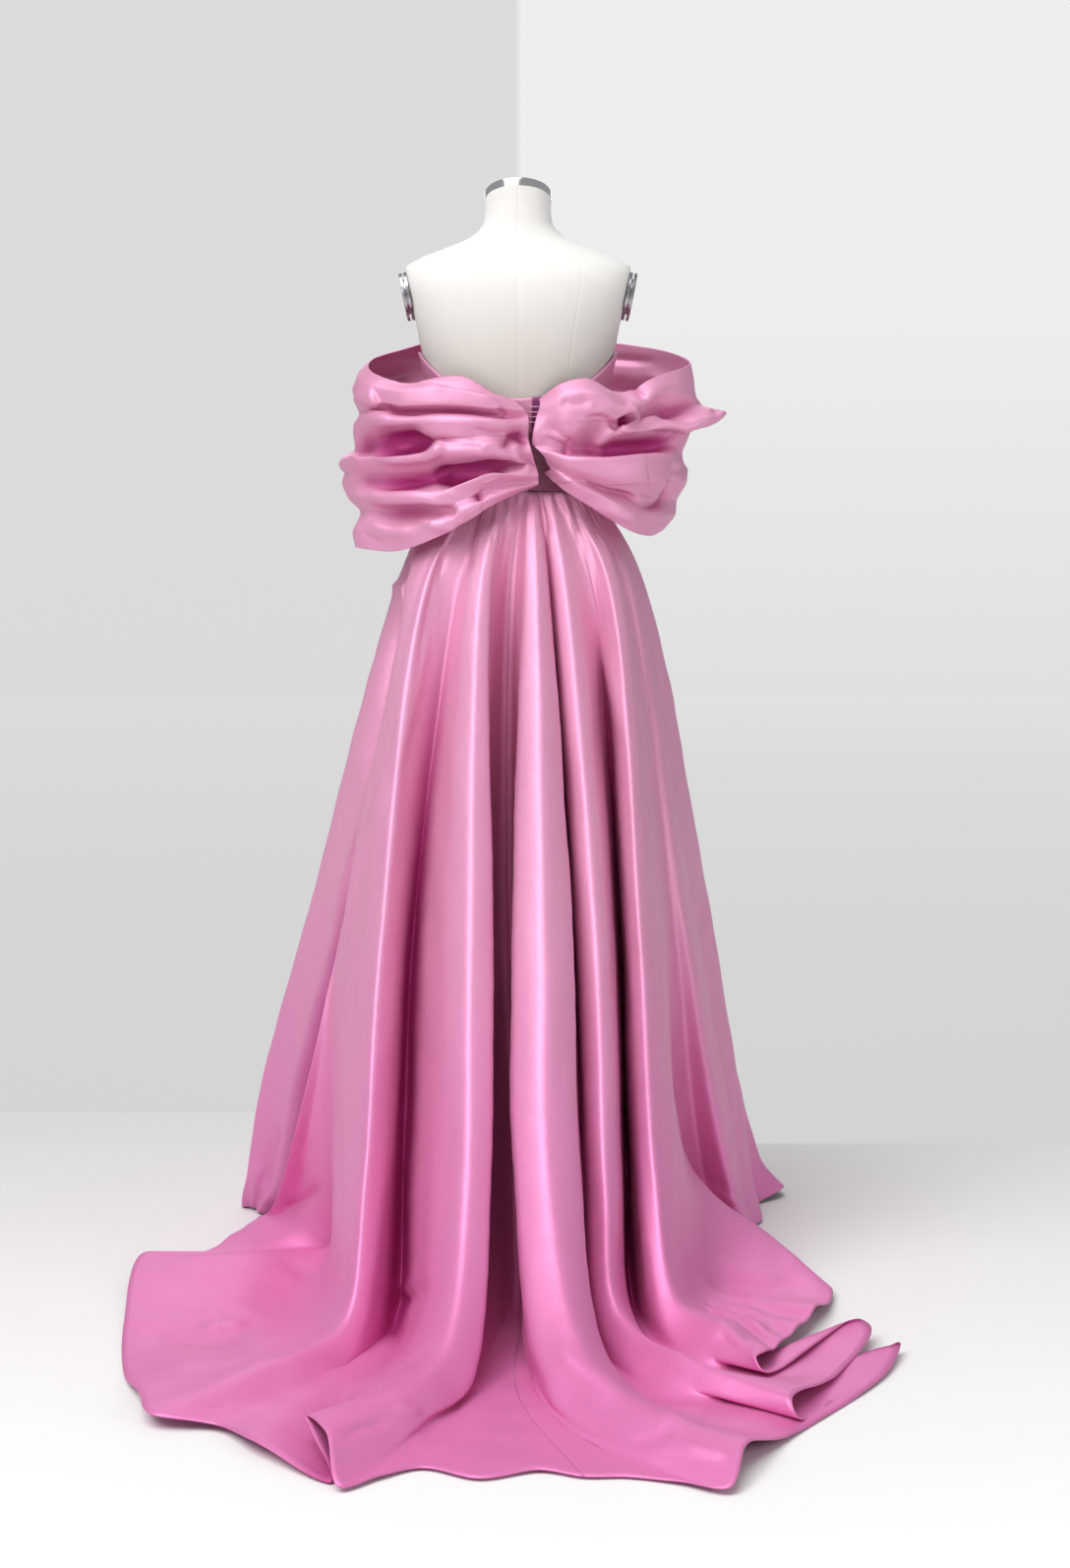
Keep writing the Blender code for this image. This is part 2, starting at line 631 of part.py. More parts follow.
def add_bodice(parts):
    """Make the strapless bodice: a front, two sides and two backs that stop at the closure."""
    left_edge, right_edge = CLOSURE_TURNS
    panels = (
        ("bodice_back_right", right_edge, 52.0, 6),
        ("bodice_side_right", 52.0, 112.0, 8),
        ("bodice_front", 112.0, 248.0, 17),
        ("bodice_side_left", 248.0, 308.0, 8),
        ("bodice_back_left", 308.0, 360.0 + left_edge, 8),
    )
    for name, first, last, columns in panels:
        add_sheet(parts, name, draw_in(bodice_grid(first, last, columns, 7)))
    underlap = bodice_grid(left_edge - 7.0, right_edge + 7.0, 7, 6, UNDERLAP_OUT)
    add_sheet(parts, "back_underlap", underlap, "underlap", UNDERLAP_THICKNESS)
    beaded = bodice_grid(*BEADED_TURNS, 8, 5, BEADED_OUT,
                         top=lambda turn: BEADED_TOP - BEADED_FALL * turn)
    add_sheet(parts, "beaded_panel", beaded, "beaded satin", BEADED_THICKNESS)


def add_closure_bars(parts):
    """Make the thin straight bars that lace across the gap in the back of the bodice."""
    left_edge, right_edge = CLOSURE_TURNS
    out = BODICE_OUT + BODICE_EASE + CLOTH / 2 + BAR_RADIUS + BAR_CLEARANCE
    for number, height in enumerate(BAR_HEIGHTS, start=1):
        first = Vector(form_point(left_edge - BAR_LAP, height, out))
        last = Vector(form_point(right_edge + BAR_LAP, height, out))
        bpy.ops.mesh.primitive_cylinder_add(vertices=12, radius=BAR_RADIUS,
                                            depth=(last - first).length)
        bar = bpy.context.object
        bar.name = f"closure_bar_{number}"
        bar.location = (first + last) / 2
        bar.rotation_euler = (last - first).to_track_quat("Z", "Y").to_euler()
        bar.data.materials.append(finish_for("hook elastic"))
        parts.objects.link(bar)
        for other in list(bar.users_collection):
            if other != parts:
                other.objects.unlink(bar)


def seat_out(height):
    """How far out from the form a drape's middle lies where it is sewn down on the bodice."""
    if height < BEADED_TOP:
        rise = (height - BODICE_BOTTOM) / (BEADED_TOP - BODICE_BOTTOM)
        face = BEADED_OUT + BEADED_THICKNESS / 2 + BODICE_EASE * rise
    else:
        face = BODICE_OUT + CLOTH / 2 + BODICE_EASE
    return face + SEWN_GAP + CLOTH / 2


def drape_grid(folds, starts, turns, along=DRAPE_ALONG, across=DRAPE_ACROSS):
    """Points of a drape: the fold lines run round the body, and a surface runs through them."""
    net = []
    for start, fold in zip(starts, folds):
        line = []
        for turn, reach, height in zip((start, *turns), fold.reach, fold.height):
            height_m = height * MM
            far = reach * MM or reach_on_bodice(turn, height_m, seat_out(height_m))
            bearing = math.radians(turn)
            line.append((far * math.sin(bearing), -far * math.cos(bearing), height_m))
        net.append(line)
    net = np.array(net)
    lines = spline(net.swapaxes(0, 1), [along] * len(turns))
    return spline(lines.swapaxes(0, 1), [across] * (len(folds) - 1)).swapaxes(0, 1)


def add_drapes(parts):
    """Make the two great folded drapes that wrap the arms and meet at the centre front."""
    for name, folds, starts, turns in (
        ("drape_left", LEFT_DRAPE, LEFT_STARTS, LEFT_TURNS),
        ("drape_right", RIGHT_DRAPE, RIGHT_STARTS, RIGHT_TURNS),
    ):
        grid = draw_in(drape_grid(folds, starts, turns), start=0.0, end=SEAM_GAP)
        add_sheet(parts, name, grid)


def waist_point(turn):
    """A point of the skirt's waist seam."""
    return form_point(turn, WAIST, BODICE_OUT)


def fold_line(fold):
    """The points of one skirt fold, from the waist to the hem."""
    points = [waist_point(fold.waist)]
    for place, height in ((fold.hip, HIP), (fold.knee, KNEE), (fold.shin, SHIN)):
        points.append((place[0] * MM, place[1] * MM, height))
    for place in (fold.foot, fold.run, fold.hem):
        points.append(tuple(value * MM for value in place))
    return np.array([tuple(point) for point in points])


def front_lines():
    """The soft pleats of the hidden front, as fold lines from its left to its right."""
    first, last = FRONT_TURNS
    count = 2 * FRONT_PLEATS + 1
    lines = []
    for k in range(count):
        turn = last + (first - last) * k / (count - 1)
        wave = -1.0 if k % 2 else FRONT_SWING[(k // 2) % len(FRONT_SWING)]
        side, ahead = math.sin(math.radians(turn)), -math.cos(math.radians(turn))
        points = [waist_point(turn)]
        for ring in FRONT_RINGS:
            reach = 1 / math.hypot(side / ring.half_width, ahead / ring.front)
            reach += ring.swing * wave
            points.append((reach * side * MM, reach * ahead * MM, ring.height * MM))
        lines.append(np.array([tuple(point) for point in points]))
    return lines


def skirt_surface(along=SKIRT_ALONG, across=SKIRT_ACROSS):
    """The whole skirt as one surface, and the columns where its side and back seams lie."""
    lines = [fold_line(fold) for fold in LEFT_SIDE_FOLDS]
    lines += front_lines()
    lines += [fold_line(fold) for fold in RIGHT_SIDE_FOLDS]
    side_seam = len(lines) * across
    lines += [fold_line(fold) for fold in BACK_RIGHT_FOLDS]
    back_seam = len(lines) * across
    lines += [fold_line(fold) for fold in BACK_LEFT_FOLDS]
    net = np.array(lines)
    fine = spline(net.swapaxes(0, 1), along)
    fine = spline(fine.swapaxes(0, 1), [across] * (len(lines) - 1))
    fine[:, :, 2] = np.maximum(fine[:, :, 2], 0.6 * CLOTH)
    fine[:, 0, 2] = WAIST
    return fine, side_seam, back_seam


def add_skirt(parts):
    """Make the skirt's front and its two back panels, which carry the train."""
    fine, side_seam, back_seam = skirt_surface()
    panels = (
        ("skirt_front", fine[:side_seam + 1], 0.0, SEAM_GAP),
        ("skirt_back_right", fine[side_seam:back_seam + 1], SEAM_GAP, SEAM_GAP),
        ("skirt_back_left", fine[back_seam:], SEAM_GAP, 0.0),
    )
    for name, grid, start, end in panels:
        add_sheet(parts, name, draw_in(grid, start, end))


def main():
    """Build the gown and the form that it stands on."""
    clear_scene()
    parts = collection_for("a_line_gown")
    add_dress_form(parts)
    add_neck_cap(parts)
    add_arm_plate(parts, "arm_plate_right", 1)
    add_arm_plate(parts, "arm_plate_left", -1)
    add_stand(parts)
    add_bodice(parts)
    add_closure_bars(parts)
    add_drapes(parts)
    add_skirt(parts)


main()
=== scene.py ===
"""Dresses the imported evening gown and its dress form, and sets up a plain studio round them.

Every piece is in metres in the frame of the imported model: Z is up, the floor is z = 0, the
form's pole stands on the origin and the wearer would face +Y. Turns about the pole are in
degrees from the centre back: 0 is the centre back, 90 the wearer's right side (+X), 180 the
centre front. The cloth is made of the same fold lines as the solids, run much finer, and then
gets its smaller creases one by one.
"""

from __future__ import annotations

import logging
import math
import sys
from dataclasses import dataclass
from enum import Enum
from typing import Callable, NamedTuple, Sequence

import bpy
import numpy as np
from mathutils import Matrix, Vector

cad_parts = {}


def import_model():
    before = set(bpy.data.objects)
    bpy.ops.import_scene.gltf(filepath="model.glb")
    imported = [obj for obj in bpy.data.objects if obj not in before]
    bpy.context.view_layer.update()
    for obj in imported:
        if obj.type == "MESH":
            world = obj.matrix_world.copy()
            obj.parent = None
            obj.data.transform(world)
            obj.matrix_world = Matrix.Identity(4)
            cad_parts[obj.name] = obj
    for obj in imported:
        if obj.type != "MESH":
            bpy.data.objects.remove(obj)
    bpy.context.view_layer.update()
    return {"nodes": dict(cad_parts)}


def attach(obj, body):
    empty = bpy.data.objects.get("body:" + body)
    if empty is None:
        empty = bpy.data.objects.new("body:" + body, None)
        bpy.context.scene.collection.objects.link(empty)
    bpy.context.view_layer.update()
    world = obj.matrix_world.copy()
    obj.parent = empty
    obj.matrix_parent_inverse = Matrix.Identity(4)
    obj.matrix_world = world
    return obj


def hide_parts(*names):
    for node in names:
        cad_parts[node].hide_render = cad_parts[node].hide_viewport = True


LOG = logging.getLogger("gown")

MM = 0.001
BODY = "root"

# Cloth
CLOTH = 1.7 * MM
SOLID_CLOTH = 2.0 * MM
SEAM_GAP = 0.3 * MM
SEWN_GAP = 0.4 * MM
FLOOR_LIFT = 0.6 * SOLID_CLOTH
SEAM_SHARE = 0.4
# The hollow mask of a piece with no folds to shade: below the satin's painted-shade span, so it
# gets no painted shade
EVEN_HOLLOW = 0.4

# Dress form
NECK_TOP = 1.564
NECK_TILT = math.radians(21)
NECK_RADIUS = 0.050
FORM_BOTTOM = 0.800
FORM_FULLNESS = 0.92
TANGENT_TURN = 2.0
REACH_STEPS = 40
REACH_TURN = 0.5
ARMHOLE_HEIGHT = 1.424
ARMHOLE_TILT = math.radians(11)
ARMHOLE_FLAT = 0.1625
ARMHOLE_FALL = 0.06

# Bodice
WAIST = 1.128
BODICE_BOTTOM = WAIST + 0.9 * MM
BODICE_OUT = 3.6 * MM
BODICE_EASE = 1.6 * MM
BEADED_OUT = 5.9 * MM
BEADED_THICKNESS = 1.2 * MM
BEADED_TOP = 1.222
BEADED_FALL = 0.6 * MM

# Levels of the skirt's fold lines
HIP, KNEE, SHIN = 1.000, 0.500, 0.200

# Creases: where they show on the cloth, in metres from the pole and by how it faces
FACING_FADE = 6.0
BACK_FACING = 0.3
BACK_LIMIT = 0.05
FRONT_LIMIT = 0.02
SIDE_LIMIT = -0.06
PICTURE_FACING = 0.1

# Creases: their shape, in their own widths, and the share of their length that runs out
CREASE_ROOM = 4.0
CREASE_RUN_OUT = 0.28
EDGE_HEIGHT = 0.5
EDGE_SLOPE = 0.35
EDGE_FADE = 3.0
TROUGH_POWER = 1.3
SIDE_ARC = 4.2

# Slow waves
WAVES_PER_SIZE = 3
WAVE_PHASES = 6.28
WAVE_GAIN = 1.6

Colour = tuple[float, float, float]
Points = np.ndarray


class Slot(Enum):
    """The record's material slots."""

    SATIN = "satin"
    BEADED = "beaded_satin"
    UNDERLAP = "underlap"
    ELASTIC = "elastic"
    LINEN = "linen"
    CHROME = "chrome"
    STEEL = "painted_steel"


class Held(Enum):
    """How a cut piece of cloth is held."""

    DRAPED = "draped"
    GATHERED = "gathered"
    STRETCHED = "stretched"


class Kind(Enum):
    """The shape of a crease across its line."""

    RIDGE = 1
    TROUGH = 2
    EDGE = 3


class Lie(Enum):
    """Where a crease's points are measured.

    BACK is x and z in millimetres on the upright plane of the centre back, seen from the
    picture's eye. PICTURE is the same plane in the picture's own pixels. FRONT is x and z in
    millimetres seen from the front, and SIDE is a turn in degrees and a height in millimetres.
    """

    BACK = 1
    PICTURE = 2
    FRONT = 3
    SIDE = 4


class FormSection(NamedTuple):
    """One level of the dress form, in millimetres."""

    height: float
    half_width: float
    back: float
    front: float


FORM_SECTIONS = (
    FormSection(800, 148, 90, 90),
    FormSection(812, 160, 100, 98),
    FormSection(870, 170, 108, 103),
    FormSection(935, 171, 108, 103),
    FormSection(1000, 159, 101, 98),
    FormSection(1060, 136, 90, 91),
    FormSection(1128, 113, 81, 84),
    FormSection(1180, 118, 85, 91),
    FormSection(1240, 129, 94, 106),
    FormSection(1300, 137, 101, 119),
    FormSection(1355, 150, 104, 110),
    FormSection(1400, 163, 102, 95),
    FormSection(1440, 174, 94, 79),
    FormSection(1464, 172, 82, 65),
    FormSection(1478, 152, 73, 56),
    FormSection(1494, 112, 65, 50),
    FormSection(1510, 74, 57, 47),
    FormSection(1528, 54, 52, 47),
    FormSection(1546, 50, 50, 47),
    FormSection(1564, 50, 50, 50),
)


class Top(NamedTuple):
    """How high the bodice reaches at one turn, in millimetres."""

    turn: float
    height: float


BODICE_TOPS = (
    Top(0, 1265),
    Top(35, 1278),
    Top(62, 1312),
    Top(82, 1336),
    Top(120, 1342),
    Top(150, 1362),
    Top(180, 1345),
)


class Fold(NamedTuple):
    """One fold line of the skirt, from the waist seam to the hem, in millimetres.

    waist is a turn in degrees on the waist seam. hip, knee and shin are the line's x and y at
    the fixed levels above, and foot, run and hem are x, y, z where it bends onto the floor,
    half way out and at the hem.
    """

    name: str
    waist: float
    hip: tuple
    knee: tuple
    shin: tuple
    foot: tuple
    run: tuple
    hem: tuple


LEFT_SIDE_FOLDS = (
    Fold("tucked edge", -58.5, (-128, -96), (-212, -188), (-284, -205), (-335, -120, 55),
         (-368, -60, 22), (-385, -20, 3)),
    Fold("side crease", -66, (-152, -72), (-268, -120), (-345, -120), (-378, -70, 60),
         (-398, -30, 26), (-408, 5, 3)),
    Fold("side dip", -72, (-163, -48), (-290, -75), (-366, -62), (-392, -25, 60),
         (-408, 10, 26), (-416, 35, 3)),
    Fold("left outline", -80, (-183, -14), (-322, -4), (-405, -4), (-428, 14, 60),
         (-436, 30, 26), (-438, 45, 3)),
)

RIGHT_SIDE_FOLDS = (
    Fold("hem curl", 104, (184, 40), (288, 70), (350, 84), (392, 96, 60),
         (414, 104, 34), (428, 112, 16)),
    Fold("right dip", 94, (183, 14), (286, 28), (345, 36), (364, 44, 60),
         (374, 48, 26), (380, 50, 3)),
    Fold("right outline", 84, (189, -12), (294, -14), (344, -22), (366, -26, 60),
         (376, -28, 26), (382, -30, 3)),
)

BACK_RIGHT_FOLDS = (
    Fold("side seam", 74, (176, -48), (268, -84), (322, -92), (346, -90, 62),
         (356, -86, 26), (362, -82, 3)),
    Fold("right side pleat", 66, (166, -88), (246, -190), (294, -204), (324, -176, 70),
         (340, -150, 28), (346, -128, 3)),
    Fold("hollow behind the wing", 60, (158, -98), (228, -196), (262, -186), (286, -152, 70),
         (304, -140, 24), (318, -140, 4)),
    Fold("under the wing", 56, (152, -110), (216, -236), (236, -226), (262, -206, 84),
         (322, -232, 28), (402, -352, 4)),
    Fold("right wing crease", 52, (150, -122), (212, -262), (232, -278), (278, -238, 104),
         (356, -276, 52), (440, -428, 8)),
    Fold("right wing", 49, (148, -130), (206, -290), (232, -372), (276, -400, 40),
         (350, -460, 14), (430, -520, 12)),
    Fold("wing's first wave", 46.5, (147, -134), (203, -304), (229, -404), (266, -460, 32),
         (330, -530, 20), (402, -596, 28)),
    Fold("wing's first notch", 44.5, (146, -136), (200, -316), (226, -424), (256, -496, 30),
         (322, -564, 17), (387, -634, 22)),
    Fold("wing's second wave", 43, (145, -138), (197, -326), (222, -440), (249, -522, 31),
         (316, -594, 22), (368, -682, 27)),
    Fold("wing's second notch", 41.5, (144, -140), (194, -334), (218, -454), (244, -545, 32),
         (308, -616, 20), (355, -718, 26)),
    Fold("wing's third wave", 40.3, (143, -141), (191, -342), (214, -468), (240, -563, 34),
         (301, -640, 26), (338, -760, 31)),
    Fold("wing's near side", 39.2, (142, -142), (189, -350), (210, -480), (236, -580, 36),
         (291, -660, 24), (326, -796, 32)),
    Fold("fourth tube, outer side", 38, (140, -144), (186, -358), (205, -492), (229, -602, 42),
         (280, -686, 36), (314, -828, 40)),
    Fold("fourth tube, crest", 35.5, (132, -150), (172, -376), (186, -524), (211, -660, 54),
         (258, -742, 48), (298, -850, 38)),
    Fold("fourth tube, inner side", 33, (122, -140), (157, -350), (166, -500), (193, -690, 26),
         (238, -776, 19), (308, -862, 22)),
    Fold("third valley", 28, (108, -129), (149, -205), (156, -300), (160, -520, 6),
         (224, -808, 5), (452, -648, 27)),
    Fold("third valley, near side", 25.5, (100, -131), (142, -250), (148, -390), (154, -570, 10),
         (222, -824, 6), (468, -664, 21)),
    Fold("third tube, outer side", 23.5, (82, -150), (128, -392), (134, -566), (148, -652, 44),
         (224, -840, 16), (400, -850, 14)),
    Fold("third tube, crest", 20.5, (68, -160), (109, -412), (117, -590), (132, -700, 56),
         (216, -864, 42), (330, -990, 30)),
    Fold("third tube, inner side", 18, (54, -152), (88, -392), (98, -566), (114, -720, 28),
         (206, -894, 17), (338, -1000, 9)),
    Fold("second valley", 15, (46, -134), (76, -320), (88, -510), (100, -700, 6),
         (214, -930, 6), (500, -712, 15)),
    Fold("second valley, near side", 13.3, (44, -148), (75, -400), (83, -600), (106, -790, 18),
         (210, -968, 8), (468, -815, 6)),
    Fold("second tube, outer side", 11.5, (42, -164), (74, -440), (81, -652), (114, -858, 40),
         (206, -1032, 20), (322, -1050, 6)),
    Fold("second tube, crest", 8.5, (27, -176), (35, -478), (40, -694), (88, -930, 54),
         (184, -1096, 40), (262, -1160, 34)),
    Fold("second tube, inner side", 6, (10, -168), (-8, -444), (-4, -660), (44, -956, 18),
         (150, -1136, 16), (236, -1234, 10)),
    Fold("under the second tube", 4.5, (3, -138), (5, -290), (14, -470), (9, -790, 22),
         (60, -1020, 6), (180, -1200, 5)),
    Fold("floor fan, right", 3, (-4, -125), (-5, -190), (11, -303), (14, -540, 4),
         (14, -900, 4), (124, -1180, 4)),
)

BACK_LEFT_FOLDS = (
    Fold("centre back seam", 2, (-11, -124), (-16, -187), (-1, -300), (3, -540, 4),
         (0, -900, 4), (74, -1180, 4)),
    Fold("floor fan, middle", 1, (-18, -125), (-28, -190), (-14, -303), (-9, -540, 4),
         (-16, -900, 4), (24, -1160, 5)),
    Fold("floor fan, left", -0.5, (-25, -134), (-44, -256), (-44, -416), (-38, -690, 4),
         (-34, -940, 4), (-46, -1186, 4)),
    Fold("floor fan, far left", -2.5, (-31, -144), (-50, -340), (-54, -540), (-58, -800, 4),
         (-82, -975, 4), (-112, -1150, 5)),
    Fold("under the first tube", -5, (-36, -156), (-48, -390), (-54, -600), (-64, -850, 13),
         (-106, -1005, 11), (-156, -1180, 6)),
    Fold("first tube, inner side", -8, (-42, -168), (-35, -440), (-37, -652), (-56, -888, 22),
         (-114, -1030, 20), (-203, -1222, 7)),
    Fold("first tube, crest", -12, (-55, -172), (-67, -462), (-70, -676), (-92, -872, 58),
         (-146, -1004, 44), (-222, -1140, 42)),
    Fold("first tube, outer side", -16, (-70, -162), (-98, -430), (-102, -626), (-124, -800, 46),
         (-178, -950, 30), (-250, -1082, 42)),
    Fold("first valley, right side", -20, (-78, -150), (-127, -366), (-135, -534),
         (-148, -700, 18), (-206, -886, 6), (-212, -1196, 3)),
    Fold("first valley", -24, (-88, -142), (-151, -310), (-161, -452), (-167, -606, 6),
         (-232, -826, 6), (-312, -1096, 18)),
    Fold("outer tube, inner side", -28, (-124, -148), (-172, -388), (-184, -560),
         (-210, -715, 18), (-270, -864, 14), (-362, -1018, 10)),
    Fold("outer tube, crest", -31.5, (-132, -156), (-192, -416), (-208, -590),
         (-228, -706, 42), (-298, -842, 32), (-442, -1006, 20)),
    Fold("outer tube, outer side", -35, (-139, -146), (-212, -382), (-230, -530),
         (-250, -630, 36), (-336, -762, 14), (-470, -912, 16)),
    Fold("left wing, near side", -38.5, (-146, -138), (-226, -342), (-248, -462),
         (-272, -530, 18), (-384, -650, 6), (-500, -822, 5)),
    Fold("left wing", -42, (-151, -130), (-238, -310), (-262, -392), (-284, -420, 16),
         (-410, -500, 8), (-535, -590, 5)),
    Fold("left wing crease", -45.5, (-155, -122), (-246, -288), (-272, -322), (-272, -286, 34),
         (-402, -276, 20), (-546, -268, 16)),
    Fold("under the left wing", -48.5, (-158, -116), (-250, -272), (-280, -296),
         (-286, -262, 24), (-388, -262, 7), (-505, -258, 5)),
    Fold("left triangle", -51, (-161, -110), (-254, -258), (-292, -276), (-318, -220, 46),
         (-392, -216, 12), (-464, -222, 4)),
    Fold("hollow by the edge", -53.5, (-163, -106), (-256, -246), (-306, -264),
         (-344, -180, 52), (-398, -142, 20), (-436, -128, 3)),
    Fold("back panel's edge", -56, (-168, -102), (-258, -238), (-326, -268), (-372, -164, 54),
         (-398, -104, 24), (-414, -60, 3)),
)


class Ring(NamedTuple):
    """The skirt's plain oval at one level, in millimetres."""

    height: float
    half_width: float
    front: float
    swing: float


FRONT_TURNS = (118.0, 262.0)
FRONT_PLEATS = 5
FRONT_SWING = (0.9, 1.15, 0.8, 1.1, 0.95)
FRONT_RINGS = (
    Ring(1000, 184, 132, 3),
    Ring(500, 300, 250, 14),
    Ring(200, 372, 336, 20),
    Ring(60, 398, 372, 24),
    Ring(26, 408, 384, 26),
    Ring(3, 416, 394, 28),
)


class DrapeFold(NamedTuple):
    """One fold line round a drape, in millimetres.

    reach is its distance from the pole and height its height, at its start and then at each
    of the drape's turns. A reach of zero lies on the bodice.
    """

    name: str
    reach: tuple
    height: tuple


LEFT_TURNS = (-14, -38, -60, -78, -98, -125, -152, -179.8)
LEFT_DRAPE = (
    DrapeFold("top edge", (0, 124, 138, 188, 220, 230, 232, 208, 146),
              (1265, 1272, 1299, 1289, 1304, 1326, 1348, 1372, 1352)),
    DrapeFold("top roll", (122, 142, 164, 206, 238, 248, 256, 228, 160),
              (1258, 1263, 1280, 1277, 1290, 1309, 1344, 1362, 1342)),
    DrapeFold("upper face", (125, 147, 173, 210, 244, 251, 260, 236, 168),
              (1249, 1249, 1254, 1253, 1266, 1272, 1306, 1326, 1308)),
    DrapeFold("first dip", (119, 130, 148, 186, 228, 244, 248, 220, 152),
              (1241, 1237, 1240, 1241, 1248, 1248, 1282, 1298, 1282)),
    DrapeFold("second roll", (128, 151, 178, 214, 240, 254, 266, 236, 167),
              (1230, 1229, 1232, 1232, 1236, 1232, 1262, 1278, 1264)),
    DrapeFold("pocket", (116, 148, 164, 172, 228, 262, 256, 222, 154),
              (1207, 1205, 1206, 1200, 1205, 1204, 1236, 1254, 1242)),
    DrapeFold("third roll", (128, 154, 184, 216, 256, 280, 268, 234, 163),
              (1187, 1183, 1187, 1180, 1180, 1176, 1212, 1232, 1222)),
    DrapeFold("second dip", (116, 127, 148, 176, 232, 275, 254, 218, 150),
              (1169, 1169, 1154, 1140, 1148, 1142, 1180, 1206, 1202)),
    DrapeFold("fourth roll", (128, 156, 190, 220, 248, 262, 252, 220, 152),
              (1152, 1152, 1130, 1117, 1121, 1120, 1154, 1182, 1184)),
    DrapeFold("third dip", (119, 136, 177, 197, 234, 240, 238, 206, 140),
              (1144, 1135, 1104, 1099, 1100, 1100, 1134, 1164, 1170)),
    DrapeFold("hanging flap", (118, 150, 193, 217, 251, 249, 240, 204, 136),
              (1140, 1120, 1080, 1070, 1068, 1070, 1114, 1148, 1160)),
    DrapeFold("lower edge", (0, 142, 187, 208, 248, 240, 230, 196, 126),
              (1136, 1110, 1063, 1040, 1044, 1048, 1096, 1138, 1150)),
)

RIGHT_TURNS = (29, 43, 56, 70, 84, 100, 126, 152, 179.8)
RIGHT_DRAPE = (
    DrapeFold("top edge", (0, 134, 152, 180, 222, 254, 266, 264, 230, 160),
              (1264, 1287, 1294, 1274, 1300, 1316, 1330, 1354, 1368, 1350)),
    DrapeFold("puff", (126, 158, 181, 200, 234, 268, 270, 262, 230, 160),
              (1254, 1270, 1270, 1252, 1282, 1277, 1294, 1328, 1350, 1338)),
    DrapeFold("puff's lower side", (123, 160, 178, 184, 210, 278, 268, 258, 224, 154),
              (1240, 1234, 1238, 1228, 1242, 1257, 1266, 1302, 1318, 1304)),
    DrapeFold("ledge", (127, 158, 158, 204, 236, 318, 294, 268, 236, 167),
              (1214, 1206, 1210, 1216, 1224, 1247, 1243, 1272, 1292, 1280)),
    DrapeFold("shadowed dip", (118, 148, 152, 176, 210, 262, 258, 246, 216, 154),
              (1197, 1190, 1190, 1192, 1194, 1204, 1210, 1242, 1262, 1254)),
    DrapeFold("band's edge", (128, 164, 190, 212, 235, 248, 251, 256, 230, 163),
              (1188, 1180, 1176, 1179, 1184, 1187, 1190, 1218, 1240, 1234)),
    DrapeFold("band", (127, 162, 192, 215, 238, 256, 257, 252, 222, 156),
              (1179, 1165, 1151, 1146, 1146, 1144, 1147, 1180, 1210, 1210)),
    DrapeFold("crease", (120, 149, 174, 196, 214, 238, 244, 238, 208, 145),
              (1170, 1153, 1137, 1127, 1120, 1116, 1120, 1154, 1188, 1192)),
    DrapeFold("lower roll", (124, 160, 188, 208, 226, 238, 240, 236, 206, 140),
              (1162, 1142, 1120, 1098, 1094, 1092, 1096, 1130, 1168, 1176)),
    DrapeFold("lower edge", (0, 146, 174, 196, 209, 220, 222, 226, 196, 128),
              (1156, 1128, 1098, 1072, 1061, 1069, 1074, 1100, 1142, 1156)),
)


# Where each fold line of a drape starts beside the closure, in degrees from the centre back
LEFT_STARTS = (-6, -1, 4, 7, 7, 7.5, 9, 12.5, 13.5, 14.5, 15, 16)
RIGHT_STARTS = (17, 15, 13, 10, 10.5, 14, 18, 21, 23, 24)


class Crease(NamedTuple):
    """One crease laid on a cloth.

    points run along it where lie says. width and depth are in millimetres. On an EDGE the
    cloth stands high on the left of the line's direction and low on its right.
    """

    lie: Lie
    kind: Kind
    points: tuple
    width: float
    depth: float


